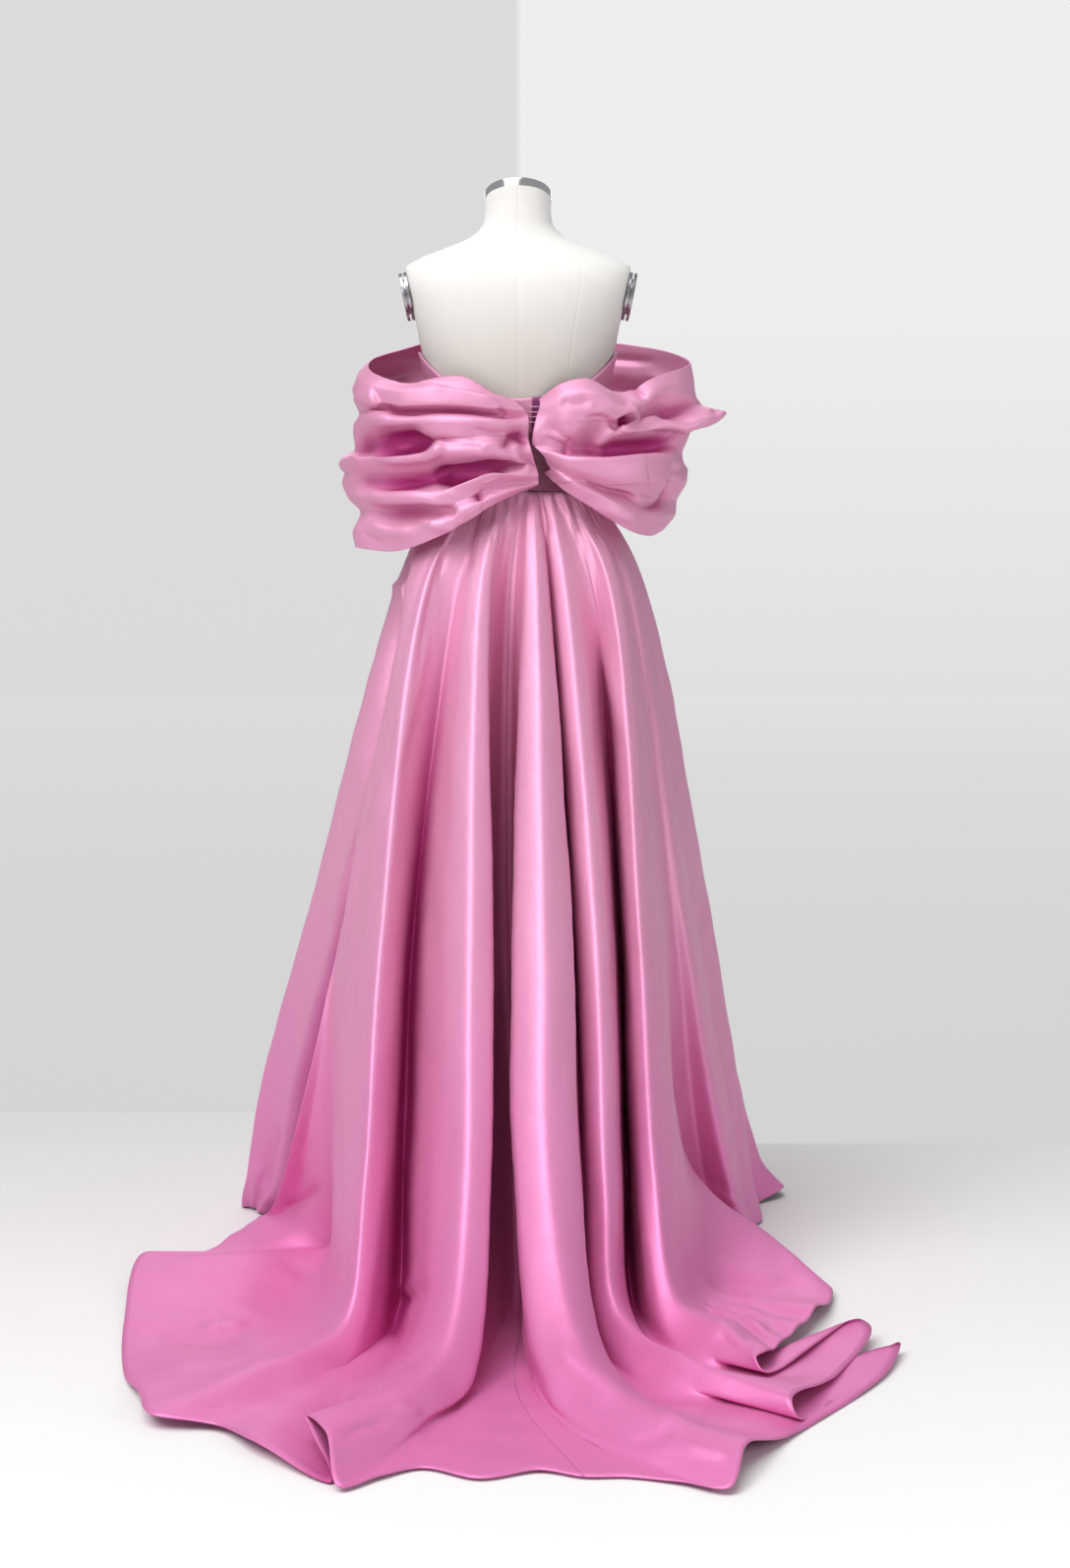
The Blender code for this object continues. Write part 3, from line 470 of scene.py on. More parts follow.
LEFT_CREASES = (
    Crease(Lie.BACK, Kind.EDGE, ((15, 1230), (-91, 1238), (-191, 1239), (-235, 1252)), 9, 15.3),
    Crease(Lie.BACK, Kind.EDGE, ((-19, 1262), (-71, 1275), (-127, 1283)), 6, 10.2),
    Crease(Lie.BACK, Kind.TROUGH, ((-246, 1176), (-215, 1188), (-165, 1199), (-112, 1206)), 19, 20),
    Crease(Lie.BACK, Kind.RIDGE, ((-239, 1178), (-175, 1175), (-127, 1183), (-105, 1205)), 8, 9.1),
    Crease(Lie.BACK, Kind.TROUGH, ((-131, 1152), (-79, 1157), (-7, 1167)), 12, 19.2),
    Crease(Lie.BACK, Kind.EDGE, ((-127, 1157), (-88, 1162), (-11, 1175), (17, 1169)), 8, 13.6),
    Crease(Lie.BACK, Kind.TROUGH,
           ((-246, 1158), (-222, 1142), (-170, 1131), (-110, 1128), (-60, 1136)), 15, 9),
    Crease(Lie.BACK, Kind.RIDGE, ((-232, 1133), (-199, 1121), (-127, 1119), (-93, 1100)), 10, 9.1),
    Crease(Lie.BACK, Kind.EDGE, ((-225, 1109), (-122, 1111), (-92, 1102), (-98, 1081)), 9, 15.3),
    Crease(Lie.BACK, Kind.TROUGH, ((-62, 1126), (-56, 1112)), 5, 12.8),
    Crease(Lie.BACK, Kind.TROUGH, ((-86, 1100), (-90, 1084)), 4, 4),
    Crease(Lie.BACK, Kind.TROUGH,
           ((-34, 1183), (-18, 1196), (-8, 1207), (12, 1203), (24, 1188)), 8, 14),
    Crease(Lie.BACK, Kind.EDGE, ((29, 1157), (17, 1171), (-9, 1188)), 7, 10.2),
    Crease(Lie.BACK, Kind.TROUGH, ((-16, 1256), (-27, 1236)), 6, 8),
    Crease(Lie.BACK, Kind.EDGE, ((-179, 1238), (-206, 1252), (-217, 1283)), 8, 10.2),
    Crease(Lie.BACK, Kind.TROUGH, ((-239, 1183), (-208, 1195), (-179, 1186)), 8, 8),
    Crease(Lie.BACK, Kind.RIDGE, ((-160, 1213), (-110, 1216), (-60, 1207)), 10, 6.5),
    Crease(Lie.BACK, Kind.RIDGE, ((-150, 1090), (-120, 1078), (-84, 1072)), 9, 5.2),
    Crease(Lie.BACK, Kind.TROUGH, ((-234, 1074), (-216, 1058), (-190, 1050)), 7, 3.5),
    Crease(Lie.BACK, Kind.RIDGE, ((-228, 1086), (-190, 1070), (-150, 1066)), 8, 3),
    Crease(Lie.BACK, Kind.TROUGH, ((-70, 1222), (-40, 1213), (-12, 1214)), 6, 6.4),
    Crease(Lie.BACK, Kind.RIDGE, ((-62, 1190), (-38, 1193), (-10, 1183)), 7, 5.2),
    Crease(Lie.SIDE, Kind.TROUGH, ((-74, 1206), (-96, 1196), (-118, 1222)), 13, 14.4),
    Crease(Lie.SIDE, Kind.TROUGH, ((-82, 1160), (-102, 1156), (-132, 1190)), 9, 9.6),
    Crease(Lie.SIDE, Kind.RIDGE, ((-90, 1276), (-112, 1296), (-140, 1316)), 12, 7.8),
    Crease(Lie.SIDE, Kind.TROUGH, ((-100, 1262), (-124, 1284), (-150, 1300)), 8, 9.6),
    Crease(Lie.SIDE, Kind.EDGE, ((-112, 1128), (-138, 1160), (-160, 1176)), 9, 11.9),
    Crease(Lie.SIDE, Kind.TROUGH, ((-122, 1236), (-146, 1252), (-168, 1246)), 10, 12.8),
    Crease(Lie.SIDE, Kind.TROUGH, ((-140, 1204), (-158, 1218), (-174, 1220)), 7, 9.6),
    Crease(Lie.SIDE, Kind.RIDGE, ((-128, 1338), (-150, 1344), (-172, 1330)), 7, 5.2),
    Crease(Lie.SIDE, Kind.TROUGH, ((-106, 1084), (-120, 1098), (-140, 1128)), 6, 8),
)

RIGHT_CREASES = (
    Crease(Lie.BACK, Kind.EDGE, ((237, 1194), (172, 1183), (93, 1178), (36, 1188)), 9, 17),
    Crease(Lie.BACK, Kind.TROUGH, ((96, 1182), (150, 1187), (200, 1192), (246, 1203)), 12, 9),
    Crease(Lie.BACK, Kind.EDGE, ((86, 1238), (124, 1240), (144, 1228), (156, 1219)), 8, 11.9),
    Crease(Lie.BACK, Kind.TROUGH, ((151, 1240), (158, 1224)), 8, 19.2),
    Crease(Lie.BACK, Kind.RIDGE,
           ((144, 1233), (156, 1219), (172, 1231), (170, 1248), (153, 1250)), 5, 6.5),
    Crease(Lie.BACK, Kind.RIDGE,
           ((160, 1219), (194, 1231), (242, 1221), (266, 1226), (304, 1240)), 7, 7.8),
    Crease(Lie.BACK, Kind.TROUGH, ((172, 1214), (218, 1209), (242, 1214)), 8, 9.6),
    Crease(Lie.BACK, Kind.TROUGH, ((196, 1232), (222, 1240), (250, 1252), (282, 1262)), 9, 9),
    Crease(Lie.BACK, Kind.TROUGH, ((285, 1252), (300, 1245)), 7, 9.6),
    Crease(Lie.BACK, Kind.EDGE, ((187, 1290), (196, 1309), (213, 1326), (240, 1331)), 8, 10.2),
    Crease(Lie.BACK, Kind.TROUGH, ((146, 1317), (172, 1281), (194, 1259)), 6, 9.6),
    Crease(Lie.BACK, Kind.RIDGE, ((26, 1233), (19, 1209), (31, 1188)), 7, 6.5),
    Crease(Lie.BACK, Kind.TROUGH, ((38, 1233), (62, 1209), (96, 1188)), 10, 9.6),
    Crease(Lie.BACK, Kind.TROUGH, ((36, 1210), (56, 1196), (84, 1186)), 5, 6.4),
    Crease(Lie.BACK, Kind.RIDGE, ((108, 1183), (134, 1209), (144, 1221)), 8, 7.8),
    Crease(Lie.BACK, Kind.EDGE,
           ((86, 1157), (124, 1136), (158, 1129), (180, 1114), (206, 1114), (220, 1136)), 8, 11.9),
    Crease(Lie.BACK, Kind.TROUGH, ((244, 1146), (220, 1128), (206, 1112), (176, 1106)), 8, 8),
    Crease(Lie.BACK, Kind.TROUGH, ((235, 1171), (230, 1148), (220, 1136)), 8, 9.6),
    Crease(Lie.BACK, Kind.TROUGH, ((208, 1084), (196, 1070), (172, 1066)), 7, 4),
    Crease(Lie.BACK, Kind.RIDGE, ((110, 1112), (150, 1092), (186, 1086)), 9, 5.2),
    Crease(Lie.BACK, Kind.TROUGH, ((58, 1262), (84, 1256), (112, 1262)), 9, 4.8),
    Crease(Lie.SIDE, Kind.TROUGH, ((72, 1214), (92, 1212), (112, 1232)), 11, 14.4),
    Crease(Lie.SIDE, Kind.TROUGH, ((84, 1274), (104, 1286), (132, 1318)), 9, 9.6),
    Crease(Lie.SIDE, Kind.RIDGE, ((88, 1158), (108, 1166), (134, 1196)), 12, 7.8),
    Crease(Lie.SIDE, Kind.TROUGH, ((94, 1118), (116, 1140), (140, 1172)), 8, 9.6),
    Crease(Lie.SIDE, Kind.EDGE, ((168, 1232), (146, 1240), (122, 1216)), 9, 13.6),
    Crease(Lie.SIDE, Kind.TROUGH, ((128, 1262), (150, 1276), (172, 1268)), 9, 11.2),
    Crease(Lie.SIDE, Kind.RIDGE, ((120, 1330), (146, 1340), (170, 1326)), 7, 5.2),
    Crease(Lie.SIDE, Kind.TROUGH, ((140, 1196), (156, 1212), (174, 1214)), 7, 9.6),
)

SKIRT_CREASES = (
    Crease(Lie.PICTURE, Kind.TROUGH, ((547, 492), (552, 515), (558, 550)), 6, 5),
    Crease(Lie.PICTURE, Kind.TROUGH, ((560, 490), (566, 510), (570, 524)), 5, 4),
    Crease(Lie.PICTURE, Kind.RIDGE, ((565, 490), (576, 515), (586, 560)), 6, 4),
    Crease(Lie.PICTURE, Kind.TROUGH, ((572, 488), (583, 512), (590, 545)), 5, 4),
    Crease(Lie.PICTURE, Kind.RIDGE, ((585, 522), (600, 600), (622, 690), (642, 780)), 9, 5),
    Crease(Lie.PICTURE, Kind.RIDGE, ((632, 552), (645, 620), (655, 684), (661, 780)), 4, 2.5),
    Crease(Lie.PICTURE, Kind.TROUGH, ((594, 500), (604, 530), (613, 560)), 6, 4),
    Crease(Lie.PICTURE, Kind.TROUGH, ((612, 520), (622, 550), (628, 585)), 6, 3),
    Crease(Lie.PICTURE, Kind.TROUGH, ((523, 494), (525, 512), (524, 532)), 5, 4),
    Crease(Lie.PICTURE, Kind.TROUGH, ((513, 500), (511, 520), (516, 540)), 5, 4),
    Crease(Lie.PICTURE, Kind.RIDGE, ((518, 496), (518, 515), (520, 545)), 5, 3),
    Crease(Lie.PICTURE, Kind.TROUGH, ((505, 516), (500, 534), (504, 552)), 6, 3),
    Crease(Lie.PICTURE, Kind.TROUGH, ((535, 492), (536, 505), (534, 524)), 4, 3),
    Crease(Lie.PICTURE, Kind.TROUGH, ((484, 532), (478, 556), (474, 590)), 7, 5),
    Crease(Lie.PICTURE, Kind.TROUGH, ((458, 540), (452, 565), (446, 590)), 5, 3),
    Crease(Lie.PICTURE, Kind.RIDGE, ((439, 629), (428, 670), (421, 705), (404, 780)), 8, 4),
    Crease(Lie.PICTURE, Kind.RIDGE, ((395, 790), (385, 830), (360, 900), (330, 1000)), 10, 5),
    Crease(Lie.PICTURE, Kind.RIDGE, ((398, 592), (407, 597), (416, 603)), 6, 9),
    Crease(Lie.PICTURE, Kind.EDGE, ((424, 540), (413, 605), (389, 730), (360, 900), (334, 1040)),
           8, 20),
    Crease(Lie.PICTURE, Kind.TROUGH, ((411, 600), (396, 655), (383, 730), (368, 800)), 9, 22),
    Crease(Lie.PICTURE, Kind.RIDGE, ((382, 776), (368, 830), (350, 896), (334, 960)), 5, 9),
    Crease(Lie.PICTURE, Kind.TROUGH, ((300, 1110), (290, 1160), (275, 1228)), 8, 6),
    Crease(Lie.PICTURE, Kind.TROUGH, ((287, 1140), (274, 1180), (262, 1215)), 6, 5),
    Crease(Lie.PICTURE, Kind.RIDGE, ((265, 1180), (260, 1206), (258, 1235)), 6, 4),
    Crease(Lie.PICTURE, Kind.TROUGH, ((330, 1205), (306, 1222), (284, 1230)), 6, 6),
    Crease(Lie.PICTURE, Kind.EDGE, ((351, 1266), (250, 1274), (148, 1280)), 7, 5),
    Crease(Lie.PICTURE, Kind.TROUGH, ((289, 1276), (302, 1290), (315, 1302)), 7, 5),
    Crease(Lie.PICTURE, Kind.TROUGH, ((218, 1329), (234, 1335), (250, 1341)), 6, 4),
    Crease(Lie.PICTURE, Kind.RIDGE, ((202, 1350), (228, 1347), (256, 1344)), 8, 4),
    Crease(Lie.PICTURE, Kind.TROUGH, ((214, 1346), (240, 1352), (262, 1342)), 6, 4),
    Crease(Lie.PICTURE, Kind.TROUGH, ((140, 1362), (200, 1362), (262, 1366)), 14, 5),
    Crease(Lie.PICTURE, Kind.RIDGE, ((150, 1388), (220, 1392), (290, 1384)), 16, 5),
    Crease(Lie.PICTURE, Kind.TROUGH, ((186, 1420), (216, 1428), (240, 1426)), 7, 4),
    Crease(Lie.PICTURE, Kind.RIDGE, ((395, 1325), (408, 1312), (425, 1305)), 7, 5),
    Crease(Lie.PICTURE, Kind.TROUGH, ((404, 1330), (420, 1316), (440, 1310)), 8, 5),
    Crease(Lie.PICTURE, Kind.RIDGE, ((402, 1425), (414, 1434), (430, 1436)), 8, 4),
    Crease(Lie.PICTURE, Kind.TROUGH, ((345, 1462), (370, 1450), (400, 1446)), 7, 4),
    Crease(Lie.PICTURE, Kind.EDGE, ((845, 1307), (776, 1240), (741, 1215), (690, 1185)), 7, 5),
    Crease(Lie.PICTURE, Kind.TROUGH, ((714, 1293), (750, 1310), (800, 1312)), 10, 4),
    Crease(Lie.PICTURE, Kind.TROUGH, ((716, 1298), (738, 1310), (770, 1316)), 6, 4),
    Crease(Lie.PICTURE, Kind.RIDGE, ((722, 1276), (760, 1296), (806, 1306)), 12, 4),
    Crease(Lie.PICTURE, Kind.TROUGH, ((728, 1352), (744, 1366), (772, 1370)), 10, 5),
    Crease(Lie.PICTURE, Kind.RIDGE, ((720, 1332), (752, 1346), (790, 1346)), 12, 4),
    Crease(Lie.PICTURE, Kind.TROUGH, ((712, 1330), (736, 1340), (768, 1338)), 7, 3),
    Crease(Lie.PICTURE, Kind.RIDGE, ((668, 1432), (690, 1440), (720, 1438)), 12, 5),
    Crease(Lie.PICTURE, Kind.TROUGH, ((640, 1470), (668, 1462), (690, 1448)), 8, 5),
    Crease(Lie.PICTURE, Kind.RIDGE, ((690, 1468), (720, 1476), (744, 1480)), 9, 4),
    Crease(Lie.PICTURE, Kind.RIDGE, ((560, 1360), (590, 1392), (640, 1420)), 14, 5),
    Crease(Lie.PICTURE, Kind.TROUGH, ((520, 1380), (560, 1410), (610, 1432)), 12, 4),
    Crease(Lie.FRONT, Kind.RIDGE, ((-60, 1110), (-72, 1010), (-96, 800)), 9, 4),
    Crease(Lie.FRONT, Kind.TROUGH, ((-28, 1116), (-34, 1040), (-44, 900)), 7, 4),
    Crease(Lie.FRONT, Kind.RIDGE, ((12, 1118), (14, 1000), (26, 780)), 9, 4),
    Crease(Lie.FRONT, Kind.TROUGH, ((48, 1114), (60, 1030), (84, 860)), 7, 4),
    Crease(Lie.FRONT, Kind.RIDGE, ((84, 1100), (108, 980), (140, 760)), 8, 4),
    Crease(Lie.FRONT, Kind.TROUGH, ((-100, 1090), (-128, 960), (-150, 820)), 7, 4),
    Crease(Lie.FRONT, Kind.RIDGE, ((-150, 420), (-176, 220), (-190, 60)), 12, 5),
    Crease(Lie.FRONT, Kind.TROUGH, ((-40, 380), (-44, 200), (-58, 40)), 11, 5),
    Crease(Lie.FRONT, Kind.RIDGE, ((96, 460), (110, 260), (128, 60)), 12, 5),
    Crease(Lie.FRONT, Kind.TROUGH, ((222, 340), (240, 190), (262, 50)), 10, 5),
)


def spline(points: Points, counts: Sequence[int]) -> Points:
    """Run a centripetal Catmull-Rom curve through points.

    Args:
        points: an array of shape (n, ..., 3); every curve of the middle axes runs at once.
        counts: how many steps each span gets.

    Returns:
        The curve's points, in an array of shape (1 + the sum of counts, ..., 3).
    """
    points = np.asarray(points, dtype=float)
    ends = np.concatenate([[2 * points[0] - points[1]], points, [2 * points[-1] - points[-2]]])
    steps = np.linalg.norm(np.diff(ends, axis=0), axis=-1, keepdims=True)
    steps = np.sqrt(np.maximum(steps, 1e-6))
    out = []
    for span, count in enumerate(counts):
        p0, p1, p2, p3 = ends[span:span + 4]
        t1 = steps[span]
        t2 = t1 + steps[span + 1]
        t3 = t2 + steps[span + 2]
        for k in range(count):
            t = t1 + (t2 - t1) * (k / count)
            a1 = (t1 - t) / t1 * p0 + t / t1 * p1
            a2 = (t2 - t) / (t2 - t1) * p1 + (t - t1) / (t2 - t1) * p2
            a3 = (t3 - t) / (t3 - t2) * p2 + (t - t2) / (t3 - t2) * p3
            b1 = (t2 - t) / t2 * a1 + t / t2 * a2
            b2 = (t3 - t) / (t3 - t1) * a2 + (t - t1) / (t3 - t1) * a3
            out.append((t2 - t) / (t2 - t1) * b1 + (t - t1) / (t2 - t1) * b2)
    out.append(points[-1])
    return np.array(out)


def crisped(smooth: Points, lines: Points, count: int, share: float | Points) -> Points:
    """Sharpen the folds between lines, as a firm cloth holds flat faces and narrow edges.

    Args:
        smooth: the surface that a spline ran through the lines.
        lines: the lines, of shape (n, m, 3).
        count: how many steps each span got.
        share: 0 leaves the spline, and 1 gives straight faces, for all or for each row.

    Returns:
        The sharpened surface, of the smooth one's shape.
    """
    steps = np.arange(len(smooth)) / count
    low = np.minimum(steps.astype(int), len(lines) - 2)
    part = (steps - low)[:, None, None]
    straight = lines[low] * (1 - part) + lines[low + 1] * part
    return smooth + (blurred(straight, 0.15 * count, 0) - smooth) * share


def smooth_table(rows: Sequence, key: Callable, value: Callable) -> Callable[[float], float]:
    """Make a smooth reader of a table.

    Args:
        rows: the table's rows.
        key: gives the place of a row.
        value: gives the value of a row.

    Returns:
        A function from a place to the value there.
    """
    knots = np.array([[key(row), value(row), 0.0] for row in rows], dtype=float)
    fine = spline(knots, [6] * (len(knots) - 1))

    def read(at: float) -> float:
        """Read the value at a place."""
        return float(np.interp(at, fine[:, 0], fine[:, 1]))

    return read


class Torso:
    """The dress form's own shape, which the bodice and the waist seam follow."""

    def __init__(self) -> None:
        """Read the form's sections once."""
        self.half_width = smooth_table(FORM_SECTIONS, lambda r: r.height * MM,
                                       lambda r: r.half_width * MM)
        self.back = smooth_table(FORM_SECTIONS, lambda r: r.height * MM, lambda r: r.back * MM)
        self.front = smooth_table(FORM_SECTIONS, lambda r: r.height * MM,
                                  lambda r: r.front * MM)
        self.bodice_top = smooth_table(BODICE_TOPS, lambda r: r.turn, lambda r: r.height * MM)

    def oval(self, turn: float, height: float) -> np.ndarray:
        """Give the outline in plan, before the armholes are cut flat.

        Args:
            turn: degrees from the centre back.
            height: metres above the floor.

        Returns:
            The outline's x and y.
        """
        side = math.sin(math.radians(turn))
        ahead = -math.cos(math.radians(turn))
        depth = self.front(height) if ahead > 0 else self.back(height)
        x = self.half_width(height) * math.copysign(abs(side) ** FORM_FULLNESS, side)
        y = depth * math.copysign(abs(ahead) ** FORM_FULLNESS, ahead)
        return np.array([x, y])

    def point(self, turn: float, height: float, out: float = 0.0) -> np.ndarray:
        """Give a point on the form or out from it.

        Args:
            turn: degrees from the centre back.
            height: metres above the floor.
            out: metres out from the surface.

        Returns:
            The point's x, y and z.
        """
        before = self.oval(turn - TANGENT_TURN, height)
        after = self.oval(turn + TANGENT_TURN, height)
        along = after - before
        outward = np.array([-along[1], along[0]])
        if outward @ after < 0:
            outward = -outward
        x, y = self.oval(turn, height) + outward / np.linalg.norm(outward) * out
        flat = ARMHOLE_FLAT + math.tan(ARMHOLE_TILT) * (height - ARMHOLE_HEIGHT)
        if out == 0.0 and height > ARMHOLE_HEIGHT - ARMHOLE_FALL:
            x = min(max(x, -flat), flat)
        return np.array([x, y, height])

    def reach(self, turn: float, height: float, out: float) -> float:
        """Give how far from the pole the surface, moved out, lies in a turn's direction.

        Args:
            turn: degrees from the centre back.
            height: metres above the floor.
            out: metres out from the surface.

        Returns:
            The distance in metres.
        """
        best = (360.0, 0.0)
        for step in range(-REACH_STEPS, REACH_STEPS + 1):
            point = self.point(turn + step * REACH_TURN, height, out)
            bearing = math.degrees(math.atan2(point[0], -point[1]))
            miss = abs((bearing - turn + 180) % 360 - 180)
            best = min(best, (miss, math.hypot(point[0], point[1])))
        return best[1]

    def bodice(self, first: float, last: float, columns: int, rows: int,
               out: float = BODICE_OUT, top: Callable[[float], float] | None = None) -> Points:
        """Give the bodice's points between two turns, from its bottom edge up.

        Args:
            first: the turn of the first column.
            last: the turn of the last column.
            columns: how many columns there are.
            rows: how many rows there are.
            out: how far out the bottom edge stands.
            top: gives the height of the top edge, where it isn't the bodice's own.

        Returns:
            Points of shape (columns, rows, 3).
        """
        lines = []
        for turn in np.linspace(first, last, columns):
            from_back = abs((turn + 180) % 360 - 180)
            high = (top or self.bodice_top)(from_back)
            line = []
            for height in np.linspace(BODICE_BOTTOM, high, rows):
                ease = BODICE_EASE * (height - BODICE_BOTTOM) / (high - BODICE_BOTTOM)
                line.append(self.point(turn, height, out + ease))
            lines.append(line)
        return np.array(lines)


TORSO = Torso()


@dataclass(frozen=True)
class Eye:
    """The picture's eye: where it stands, and how it measures."""

    place: tuple[float, float, float] = (0.0, -4.2, 1.10)
    pitch: float = math.radians(5.72)
    yaw: float = math.radians(0.35)
    focal: float = 2777.0
    width: float = 1088.0
    height: float = 1594.0
    pixel_x: float = 1.4476
    pixel_z: float = 1.435
    middle_column: float = 527.0
    known_row: float = 440.0
    known_height: float = 1213.4

    def plane(self, points: Points) -> Points:
        """Project points onto the upright plane of the centre back.

        Args:
            points: an array of shape (n, 3), in metres.

        Returns:
            Their x and z on the plane, in millimetres, in an array of shape (n, 2).
        """
        across = points[:, 0] - self.place[0]
        away = points[:, 1] - self.place[1]
        up = points[:, 2] - self.place[2]
        turned_across = across * math.cos(self.yaw) - away * math.sin(self.yaw)
        turned_away = across * math.sin(self.yaw) + away * math.cos(self.yaw)
        depth = turned_away * math.cos(self.pitch) - up * math.sin(self.pitch)
        rise = up * math.cos(self.pitch) + turned_away * math.sin(self.pitch)
        column = self.width / 2 + self.focal * turned_across / depth
        row = self.height / 2 - self.focal * rise / depth
        return self.from_picture(np.stack([column, row], axis=1))

    def from_picture(self, pixels: Points) -> Points:
        """Turn the picture's columns and rows into millimetres on the plane."""
        return np.stack([(pixels[:, 0] - self.middle_column) * self.pixel_x,
                         self.known_height - (pixels[:, 1] - self.known_row) * self.pixel_z],
                        axis=1)


EYE = Eye()


@dataclass
class Relief:
    """Lays creases on a cloth's grid of points.

    Attributes:
        grid: the cloth's points, of shape (columns, rows, 3).
        facing: 1 where columns then rows turn outwards by the right hand, else -1.
    """

    grid: Points
    facing: int = 1

    def outward(self) -> Points:
        """Give the cloth's outward normals, of shape (columns, rows, 3)."""
        along = np.gradient(self.grid, axis=0)
        down = np.gradient(self.grid, axis=1)
        normal = np.cross(along, down) * self.facing
        return normal / np.maximum(np.linalg.norm(normal, axis=2, keepdims=True), 1e-12)

    def lay(self, creases: Sequence[Crease]) -> Points:
        """Push the grid in and out along its normals.

        Args:
            creases: the creases to lay.

        Returns:
            The creased points, of the grid's own shape.
        """
        flat = self.grid.reshape(-1, 3)
        normal = self.outward().reshape(-1, 3)
        push = np.zeros(len(flat))
        places = {
            Lie.BACK: EYE.plane(flat),
            Lie.FRONT: np.stack([flat[:, 0], flat[:, 2]], axis=1) / MM,
            Lie.SIDE: self.side_places(flat),
        }
        places[Lie.PICTURE] = places[Lie.BACK]
        seen = {
            Lie.BACK: (np.clip(BACK_FACING - FACING_FADE * normal[:, 1], 0, 1)
                       * (flat[:, 1] < BACK_LIMIT)),
            Lie.FRONT: (flat[:, 1] > FRONT_LIMIT).astype(float),
            Lie.SIDE: (flat[:, 1] > SIDE_LIMIT).astype(float),
        }
        seen[Lie.PICTURE] = np.clip(1.0 - FACING_FADE * (normal[:, 1] - PICTURE_FACING), 0, 1)
        for crease in creases:
            push += self.height_of(crease, places[crease.lie]) * seen[crease.lie]
        return (flat + normal * push[:, None] * MM).reshape(self.grid.shape)

    @staticmethod
    def side_places(flat: Points) -> Points:
        """Give each point's distance round the pole and height, in millimetres."""
        turn = np.degrees(np.arctan2(flat[:, 0], -flat[:, 1]))
        return np.stack([turn * SIDE_ARC, flat[:, 2] / MM], axis=1)

    @staticmethod
    def height_of(crease: Crease, places: Points) -> Points:
        """Give a crease's height at every point.

        Args:
            crease: the crease.
            places: where the points lie on the crease's own plane, in millimetres.

        Returns:
            Heights in millimetres.
        """
        marks = np.array(crease.points, dtype=float)
        if crease.lie is Lie.PICTURE:
            marks = EYE.from_picture(marks)
        if crease.lie is Lie.SIDE:
            marks[:, 0] *= SIDE_ARC
        line = spline(np.pad(marks, ((0, 0), (0, 1))), [5] * (len(marks) - 1))[:, :2]
        height = np.zeros(len(places))
        room = CREASE_ROOM * crease.width
        near = np.all((places > line.min(0) - room) & (places < line.max(0) + room), axis=1)
        spots = places[near]
        if not len(spots):
            return height
        best = np.full(len(spots), 1e9)
        signed = np.zeros(len(spots))
        along = np.zeros(len(spots))
        for k, (start, end) in enumerate(zip(line, line[1:])):
            run = end - start
            share = np.clip((spots - start) @ run / max(run @ run, 1e-9), 0, 1)
            off = spots - start - share[:, None] * run
            far = np.linalg.norm(off, axis=1)
            closer = far < best
            best[closer] = far[closer]
            turn = run[0] * off[:, 1] - run[1] * off[:, 0]
            signed[closer] = np.sign(turn[closer]) * far[closer]
            along[closer] = (k + share[closer]) / (len(line) - 1)
        end_off = np.clip(np.minimum(along, 1 - along) / CREASE_RUN_OUT, 0, 1)
        taper = end_off * end_off * (3 - 2 * end_off)
        if crease.kind is Kind.EDGE:
            shape = np.tanh(signed / (EDGE_SLOPE * crease.width))
            shape *= EDGE_HEIGHT * np.exp(-best / (EDGE_FADE * crease.width))
        elif crease.kind is Kind.RIDGE:
            shape = np.exp(-(best / crease.width) ** 2)
        else:
            shape = -np.exp(-(best / crease.width) ** TROUGH_POWER)
        height[near] = crease.depth * shape * taper
        return height


def soft_waves(places: Points, sizes: Sequence[float], seed: int) -> Points:
    """Add up slow uneven waves, as hand-smoothed cloth keeps.

    Args:
        places: points of shape (n, 3), in metres.
        sizes: the length of each set of waves, in metres.
        seed: fixes the waves' directions.

    Returns:
        Heights of about -1 to 1 at each point.
    """
    rng = np.random.default_rng(seed)
    total = np.zeros(len(places))
    for size in sizes:
        for _ in range(WAVES_PER_SIZE):
            way = rng.normal(size=3)
            way /= np.linalg.norm(way)
            total += np.sin(places @ way * (2 * math.pi / size)
                            + rng.uniform(0, WAVE_PHASES))
    return total / (WAVES_PER_SIZE * len(sizes)) * WAVE_GAIN


def blurred(grid: Points, reach: float, axis: int) -> Points:
    """Blur a grid along one axis.

    Args:
        grid: points of shape (columns, rows, 3).
        reach: the blur's reach, in steps of the grid.
        axis: 0 along the columns, 1 along the rows.

    Returns:
        The blurred grid, of the same shape.
    """
    half = int(3 * reach)
    weights = np.exp(-0.5 * (np.arange(-half, half + 1) / reach) ** 2)
    weights /= weights.sum()
    room = [(0, 0)] * grid.ndim
    room[axis] = (half, half)
    padded = np.moveaxis(np.pad(grid, room, mode="reflect", reflect_type="odd"), axis, 0)
    count = grid.shape[axis]
    total = sum(weight * padded[k:k + count] for k, weight in enumerate(weights))
    return np.moveaxis(total, 0, axis)


def hollows(grid: Points, facing: int, reaches: tuple[float, float], depth: float) -> Points:
    """Tell how deep every point lies in the folds about it, as the mask for the satin's painted
    shade.

    Args:
        grid: the cloth's points.
        facing: as in Relief.
        reaches: how far about a point the folds count, in columns and in rows.
        depth: how deep a hollow must lie to take the full painted shade, in metres.

    Returns:
        0 on the crests to 1 in the deepest hollows, of shape (columns, rows).
    """
    even = grid
    for axis, reach in enumerate(reaches):
        if reach:
            even = blurred(even, reach, axis)
    out = np.einsum("crk,crk->cr", grid - even, Relief(even, facing).outward())
    return np.clip(0.5 - 0.5 * out / depth, 0.0, 1.0)


